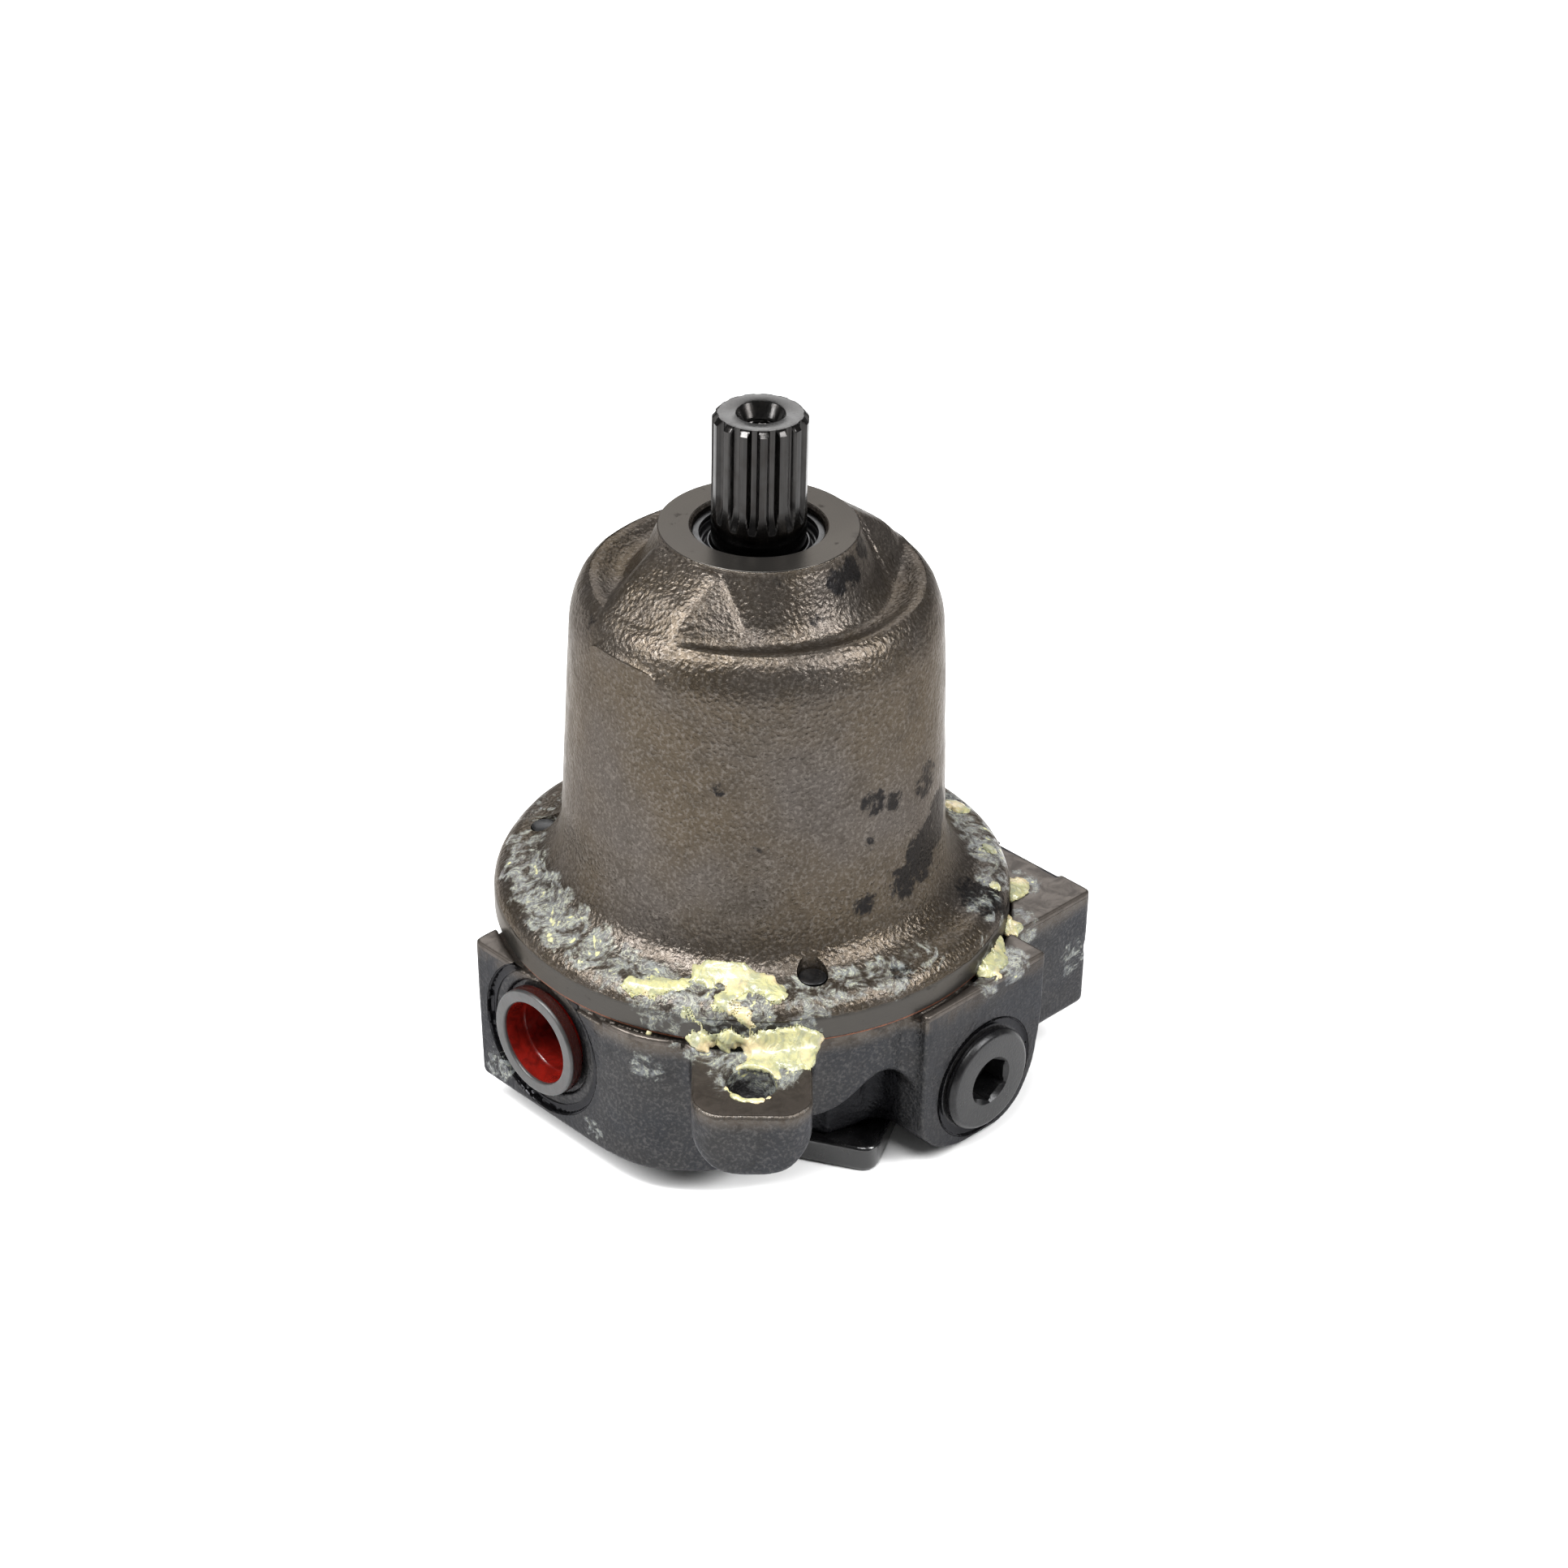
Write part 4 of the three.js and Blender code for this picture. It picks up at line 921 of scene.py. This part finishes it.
def cap_holes(x, y, z):
    """The spaces cut into the end cap."""
    for port, side in ((INLET, -1), (OUTLET, 1)):
        around = np.hypot(y - port["y"], z - PORT_HEIGHT)
        depth = side * (port["face"] - x)  # how far in from the port's face
        for reach, floor in PORT_STEPS:
            yield np.maximum(around - reach, depth - floor)
    around = np.hypot(x - HEX_PORT["x"], z - HEX_PORT["z"])
    depth = y - HEX_PORT["face"]
    for reach, floor in HEX_STEPS:
        yield np.maximum(around - reach, depth - floor)
    for recess in (VALVE_RECESS, BEARING_POCKET):
        yield np.maximum(np.hypot(x, y) - recess["radius"], recess["floor"] - z)
    middle, half = FLOW_PASSAGE["x"], FLOW_PASSAGE["half_width"]
    for side, (low, high) in ((-1, (INLET["y"] - 12, INLET["y"] + 6)), (1, (OUTLET["y"] - 4, 8))):
        across = np.maximum(between(x, side * middle - half, side * middle + half), between(y, low, high))
        yield np.maximum(across, FLOW_PASSAGE["floor"] - z)
    for side in (-1, 1):
        around = np.hypot(x, y - side * CONTROL_BORE["y"])
        yield np.maximum(around - CONTROL_BORE["radius"], CONTROL_BORE["floor"] - z)
    for a, b in COVER_SCREWS:
        yield np.maximum(np.hypot(x - a, y - b) - COVER_SCREW_HOLE["radius"], z - COVER_SCREW_HOLE["top"])
    for angle in LUG_ANGLES:
        a, b = polar(LUG_HOLE["distance"], angle)
        yield np.hypot(x - a, y - b) - LUG_HOLE["radius"]
    yield np.maximum(between(np.hypot(x, y), CAP_RADIUS + 0.6, FLANGE_RADIUS + 0.5), 49 - z)
    for angle in BOLT_ANGLES:
        a, b = polar(BOLT_CIRCLE, angle)
        around = np.hypot(x - a, y - b)
        head = np.maximum(around - BOLT_RECESS["radius"], z - BOLT_RECESS["top"])
        yield np.minimum(around - BOLT_RADIUS - 0.4, head)


def make_end_cap(material):
    shape = skin(end_cap_field, (-79, -81, -1), (79, 81, 53), 0.7)
    piece("end_cap_skin", shape, material, ["end_cap"], crease=55, weld=False)


def make_rear_cover(material):
    outline = softened([(x, y, 5) for x, y in COVER_CORNERS], closed=True, steps=8)

    def field(x, y, z):
        body = trimmed(outline_distance(outline, x, y), between(z, 0, COVER_TOP), 1.4)
        for a, b in COVER_SCREWS:
            around = np.hypot(x - a, y - b)
            head = np.maximum(around - 4.6, z - 4.3)
            body = np.maximum(body, -np.minimum(around - COVER_SCREW_HOLE["radius"], head))
        return body

    shape = skin(field, (-60, -70, -2), (55, 42, COVER_TOP + 2), 0.7)
    piece("rear_cover_skin", shape, material, ["rear_cover"], crease=50, weld=False)


# ---- plugs, seals and fasteners ----

def make_port_plug(node, direction, place, material):
    shape = spun([
        (10.6, -17, 0.6), (13, -14, 1), (13.2, -1.4), (PLUG_RADIUS, -1.4, 0.3), (PLUG_RADIUS, 2.1, 0.4),
        (PLUG_RADIUS - 0.4, PLUG_FRONT, 0.2), (12.2, PLUG_FRONT, 0.3), (11.9, PLUG_FRONT - 0.4, 0.3),
        (11.6, -4, 0.6), (11.3, -4.5, 0.4), (11.1, -13.6, 0.8), (10.2, -14.5, 0.6),
    ], 128)
    piece(f"{node}_moulding", facing(shape, direction, place), material, [node])


def with_hexagon(profile, across, depth, floor_depth, mouth, count):
    """A turned body with a hexagon socket in its top; the profile ends at the socket's mouth."""
    angles = directions(count)
    line = softened(profile)
    top = line[-1][1]
    reach = hexagon_radius(angles, across)
    widest = across / math.sqrt(3)
    return loft([loop_at(radius, angles, z) for radius, z in (
        *line, (widest + mouth, top), (np.maximum(reach, widest - mouth), top - 2 * mouth),
        (reach, top - 3.2 * mouth), (reach, top - depth), (reach * 0.97, top - depth - 0.1),
        (across * 0.2, top - floor_depth),
    )])


def make_hex_plug(material, rubber):
    way, place = (0, -1, 0), (HEX_PORT["x"], HEX_PORT["face"], HEX_PORT["z"])
    plug = with_hexagon([
        (9.2, -14, 0), (10, -13.2), (10, 0.4, 0.2), (15.06, 0.4, 0.3), (15.06, 1.2, 0.4),
        (14.1, 2.5, 0.7), (9, 2.5),
    ], 12, 8, 9.5, 0.35, 144)
    piece("hex_plug_head", facing(plug, way, place), material, ["hex_plug"], crease=30)
    seal = spun([(10.4, -0.9, 0.3), (14.2, -0.9, 0.5), (14.2, 0.3, 0.5), (10.4, 0.3, 0.3)], 96, True)
    piece("hex_plug_ring", facing(seal, way, place), rubber, ["hex_plug_seal"])


def make_gasket(material):
    inner, outer = 48.5, FLANGE_RADIUS - 0.6
    low, high = CAP_TOP + 0.1, CAP_TOP + 0.5
    shape = spun([(inner, low), (outer, low), (outer, high), (inner, high)], 240, True)
    cut(piece("gasket_sheet", shape, material, ["cover_gasket"]), *bolt_holes())


def socket_screw(node, place, profile, socket, material):
    """A screw with its head down; the profile's heights, from its tip to its head, are below `place`."""
    vertices, faces = with_hexagon(profile, *socket, 48)
    piece(f"{node}_fine", (vertices * (1, -1, -1) + (*place, 0), faces), material, [node])


def make_flange_bolts(material):
    profile = [(2.7, -BOLT_TOP, 0.3), (BOLT_RADIUS - 0.1, 0.5 - BOLT_TOP, 0.2)]
    for turn in range(20):
        z = FLANGE_TOP - 1.4 - turn * BOLT_PITCH
        profile += [(BOLT_RADIUS - 0.55, -z), (BOLT_RADIUS - 0.02, 0.6 - z)]
    head, top, bottom = BOLT_HEAD["radius"], -BOLT_HEAD["top"], -BOLT_HEAD["bottom"]
    profile += [(BOLT_RADIUS - 0.3, top - 2), (BOLT_RADIUS - 0.1, top, 0.1), (head, top, 0.5),
                (head, bottom, 0.6), (4.2, bottom)]
    for i, angle in enumerate(BOLT_ANGLES):
        socket_screw(f"flange_bolt_{i + 1}", polar(BOLT_CIRCLE, angle), profile, (6, 4, 4.8, 0.25),
                     material)


def make_cover_screws(material):
    profile = [(1.6, -15), (2.2, -14.3), (2.2, -4, 0.2), (4.2, -4, 0.3), (4.2, -0.4, 0.5), (2.6, -0.4)]
    for i, place in enumerate(COVER_SCREWS):
        socket_screw(f"cover_screw_{i + 1}", place, profile, (3.4, 2.2, 2.7, 0.15), material)


def make_seals(rubber, steel):
    seal = spun([
        (12.75, 156, 0.3), (17.4, 156, 0.3), (17.4, 163, 0.5), (15.6, 163, 0.5), (15.3, 161.3, 0.4),
        (14.7, 161.2, 0.3), (14.5, 160.2, 0.3), (14.0, 160.2, 0.3), (13.5, 162.4, 0.5),
        (12.9, 162.2, 0.3), (12.75, 161),
    ], 128, True)
    piece("shaft_seal_fine", seal, rubber, ["shaft_seal"])
    corners = (15.6, 163.2), (17.35, 163.2), (17.35, 164.4), (15.6, 164.4)
    ring = spun([(*corner, 0.2) for corner in corners], 128, True)
    piece("seal_snap_ring_fine", ring, steel, ["seal_snap_ring"])


# ---- grease ----

FLANGE_PROFILE = np.array([
    (45, 51), (71, 51), (71, 57.5), (69.9, 60.4), (67.4, 62.6), (60.5, 63.8), (57.5, 65.3), (55.2, 68.2),
    (53, 74), (45, 74),
])


def ripple(x, y, z, size, seed):
    """Cheap waves from -1 to 1 whose crests wander."""
    a, b, c = x / size, y / size, z / size
    one = np.sin(1.7 * a + 0.9 * b + seed + 1.3 * np.sin(1.1 * b - 0.7 * c + seed))
    two = np.sin(1.9 * b - 1.2 * a + 2 * seed + 1.1 * np.sin(1.4 * a + 0.8 * c - seed))
    return 0.6 * one * two + 0.4 * np.sin(2.3 * c + 1.1 * a - 0.8 * b + 1.2 * np.sin(1.6 * a - seed))


def make_grease(name, low, high, dabs, rims, material):
    """Thick grease: each dab is (point, reach, thickness), and each rim goes round a lug's hole."""
    def field(x, y, z):
        bell = outline_distance(FLANGE_PROFILE, np.hypot(x, y), z + 0 * x * y)
        cap = end_cap_field(x, y, z)
        thick = -0.95 + 0.45 * ripple(x, y, z, 2.6, 1.0) + 0.3 * ripple(x, y, z, 1.1, 4.0)
        for (a, b, c), reach, depth in dabs:
            away = (x - a) ** 2 + (y - b) ** 2 + (z - c) ** 2
            thick = thick + (depth + 0.35) * np.exp(-away / reach ** 2)
        for a, b, top, radius, depth in rims:
            ring = np.hypot(np.hypot(x - a, y - b) - radius, (z - top) * 0.8)
            side = 0.7 + 0.3 * np.sin(np.arctan2(y - b, x - a) * 2 + 0.6)
            thick = thick + depth * side * np.exp(-(ring / 1.5) ** 2)
        thick = np.minimum(thick, 1.0 + 0.3 * (thick - 1.0))
        return np.maximum(joined(bell, cap, 3.5) - thick, -np.minimum(bell, cap) - 0.12)

    shape = skin(field, low, high, 0.45)
    piece(name, shape, material, crease=60, weld=False)


def make_all_grease(material):
    hole = polar(LUG_HOLE["distance"], LUG_ANGLES[0])
    make_grease("grease_front", (-76, -80, 48.5), (-28, -16, 67), spots(
        (73, 237, 51, 4.5, 3.2), (73, 233, 52, 5.0, 3.0), (73.5, 228, 51.5, 4.5, 2.2),
        (76, 234, 50, 4.0, 1.6), (72, 221, 53, 3.5, 1.5), (72, 215, 52.5, 3.5, 1.5),
        (70.5, 212, 59, 3.0, 1.2), (70, 224, 60, 3.6, 1.4), (68, 219, 62, 3.4, 1.3),
        (67, 203, 63, 3.8, 2.0), (68, 198, 62.5, 3.0, 1.7), (64, 208, 63.5, 3.4, 1.6),
        (59, 214, 64.5, 4.2, 2.3), (58, 220, 65, 3.8, 2.3), (60, 226, 64.5, 3.4, 1.8),
        (62, 230, 64, 3.6, 1.9), (66, 232, 63, 3.0, 1.5), (64, 222, 63.5, 3.0, 1.4),
    ), [(*hole, LUG["top"], LUG_HOLE["radius"] + 0.9, 1.9)], material)
    make_grease("grease_side", (14, -79, 49.5), (79, -10, 67), spots(
        (73, 286, 51.5, 3.6, 1.7), (73, 291, 52, 4.0, 2.0), (72.5, 296, 53, 3.0, 1.3),
        (73, 304, 52, 3.6, 1.6), (73, 318, 51.5, 3.8, 1.8), (75, 322, 51, 3.6, 1.6),
        (67, 306, 62.5, 2.8, 1.3), (66, 322, 63, 3.2, 1.5), (64, 341, 63.5, 3.6, 1.7),
        (62, 344, 64, 3.0, 1.5),
    ), [], material)


# ---- shaft ----

SPLINE = {"teeth": 15, "outer": 12.5, "root": 10.9, "end": 170, "turn": 4.7 - 135}
HOB_RADIUS = 16
THREAD_PITCH = 1.25


def spline_radius(angles):
    """Radius of the splined section: flat-topped teeth with hollow flanks and rounded roots."""
    pitch = TURN / SPLINE["teeth"]
    place = ((angles - math.radians(SPLINE["turn"])) / pitch + 0.5) % 1 - 0.5
    flank = np.clip((np.abs(place) - 0.185) / 0.15, 0, 1)
    return SPLINE["outer"] - (SPLINE["outer"] - SPLINE["root"]) * flank ** 0.85


def make_shaft(material):
    angles = directions(SPLINE["teeth"] * 28)
    teeth = spline_radius(angles)
    outer = SPLINE["outer"]
    loops = [*softened([
        (8.5, SHAFT_BOTTOM), (10, SHAFT_BOTTOM + 1.5), (10, 42, 0.5), (11.4, 42, 0.5), (11.4, 120, 2),
        (15.5, 126, 1), (15.5, 129.5, 0.5), (outer, 129.5, 0.5), (outer, SPLINE["end"] - 2),
    ])]

    # the hob runs out of the shaft on an arc, so the roots rise to the full radius
    run_out = SPLINE["end"] - 0.5
    arc = np.arange(run_out - 1, run_out + 7.5, 0.45)
    straight = np.arange(run_out + 8, SHAFT_TOP - 1.6, 2.0)
    for z in np.concatenate([arc, straight]):
        lift = np.clip(run_out + 7 - z, 0, HOB_RADIUS)
        rise = HOB_RADIUS - math.sqrt(HOB_RADIUS ** 2 - lift ** 2)
        loops.append((np.minimum(teeth + rise, outer), z))
    for drop, limit in ((1.45, 12.6), (1.2, 12.25), (0.6, 11.75), (0.05, 11.2), (0, 11.05)):
        loops.append((np.minimum(teeth, limit), SHAFT_TOP - drop))
    mouth = (10.2, 0), (6.75, 0), (6.45, 0.15), (4.75, 3.6)
    loops += [(radius, SHAFT_TOP - drop) for radius, drop in mouth]

    # tapped hole: one helical groove
    for z in np.arange(SHAFT_TOP - 3.9, SHAFT_TOP - 19, -THREAD_PITCH / 8):
        phase = ((z - SHAFT_TOP) / THREAD_PITCH + angles / TURN) % 1
        fade = min(1, (SHAFT_TOP - 3.7 - z) / 0.8)
        loops.append((4.05 + fade * 0.62 * np.abs(2 * phase - 1), z))
    loops += [(3.9, SHAFT_TOP - 20), (0.4, SHAFT_TOP - 22)]
    shape = loft([loop_at(radius, angles, z) for radius, z in loops])
    piece("drive_shaft_fine", shape, material, ["drive_shaft"], body="rotor", crease=32)


# ---- the build ----

make_camera()
make_studio()

bell_material = bell_finish()
cap_material = cap_finish()
shaft_material = steel_finish("dark_steel", 0.03, 0.2)
ground_material = steel_finish("ground_steel", 0.45, 0.25, lengthwise=False, oxide=0.15)
black_material = black_finish("black_oxide", 0.0075, 0.6, 0.32)
cover_material = black_finish("black_paint", 0.003, 0.0, 0.22, coat=0.35)
gasket_material = gasket_finish()
rubber_material = rubber_finish()
bronze_material = bronze_finish()

make_bell(bell_material)
make_end_cap(cap_material)
make_rear_cover(cover_material)
make_gasket(gasket_material)
make_flange_bolts(black_material)
make_cover_screws(black_material)
make_port_plug("inlet_port_plug", (-1, 0, 0), (INLET["face"], INLET["y"], PORT_HEIGHT),
               plastic_finish("red_plastic_inlet", INLET))
make_port_plug("outlet_port_plug", (1, 0, 0), (OUTLET["face"] - 0.3, OUTLET["y"], PORT_HEIGHT),
               plastic_finish("red_plastic_outlet", OUTLET))
make_hex_plug(black_material, rubber_material)
make_seals(rubber_material, black_material)
make_shaft(shaft_material)
make_all_grease(grease_finish())

for name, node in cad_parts.items():
    if node.hide_render:
        continue
    bronze = name.startswith(("slipper", "valve_plate", "cradle"))
    node.data.materials.clear()
    node.data.materials.append(bronze_material if bronze else ground_material)
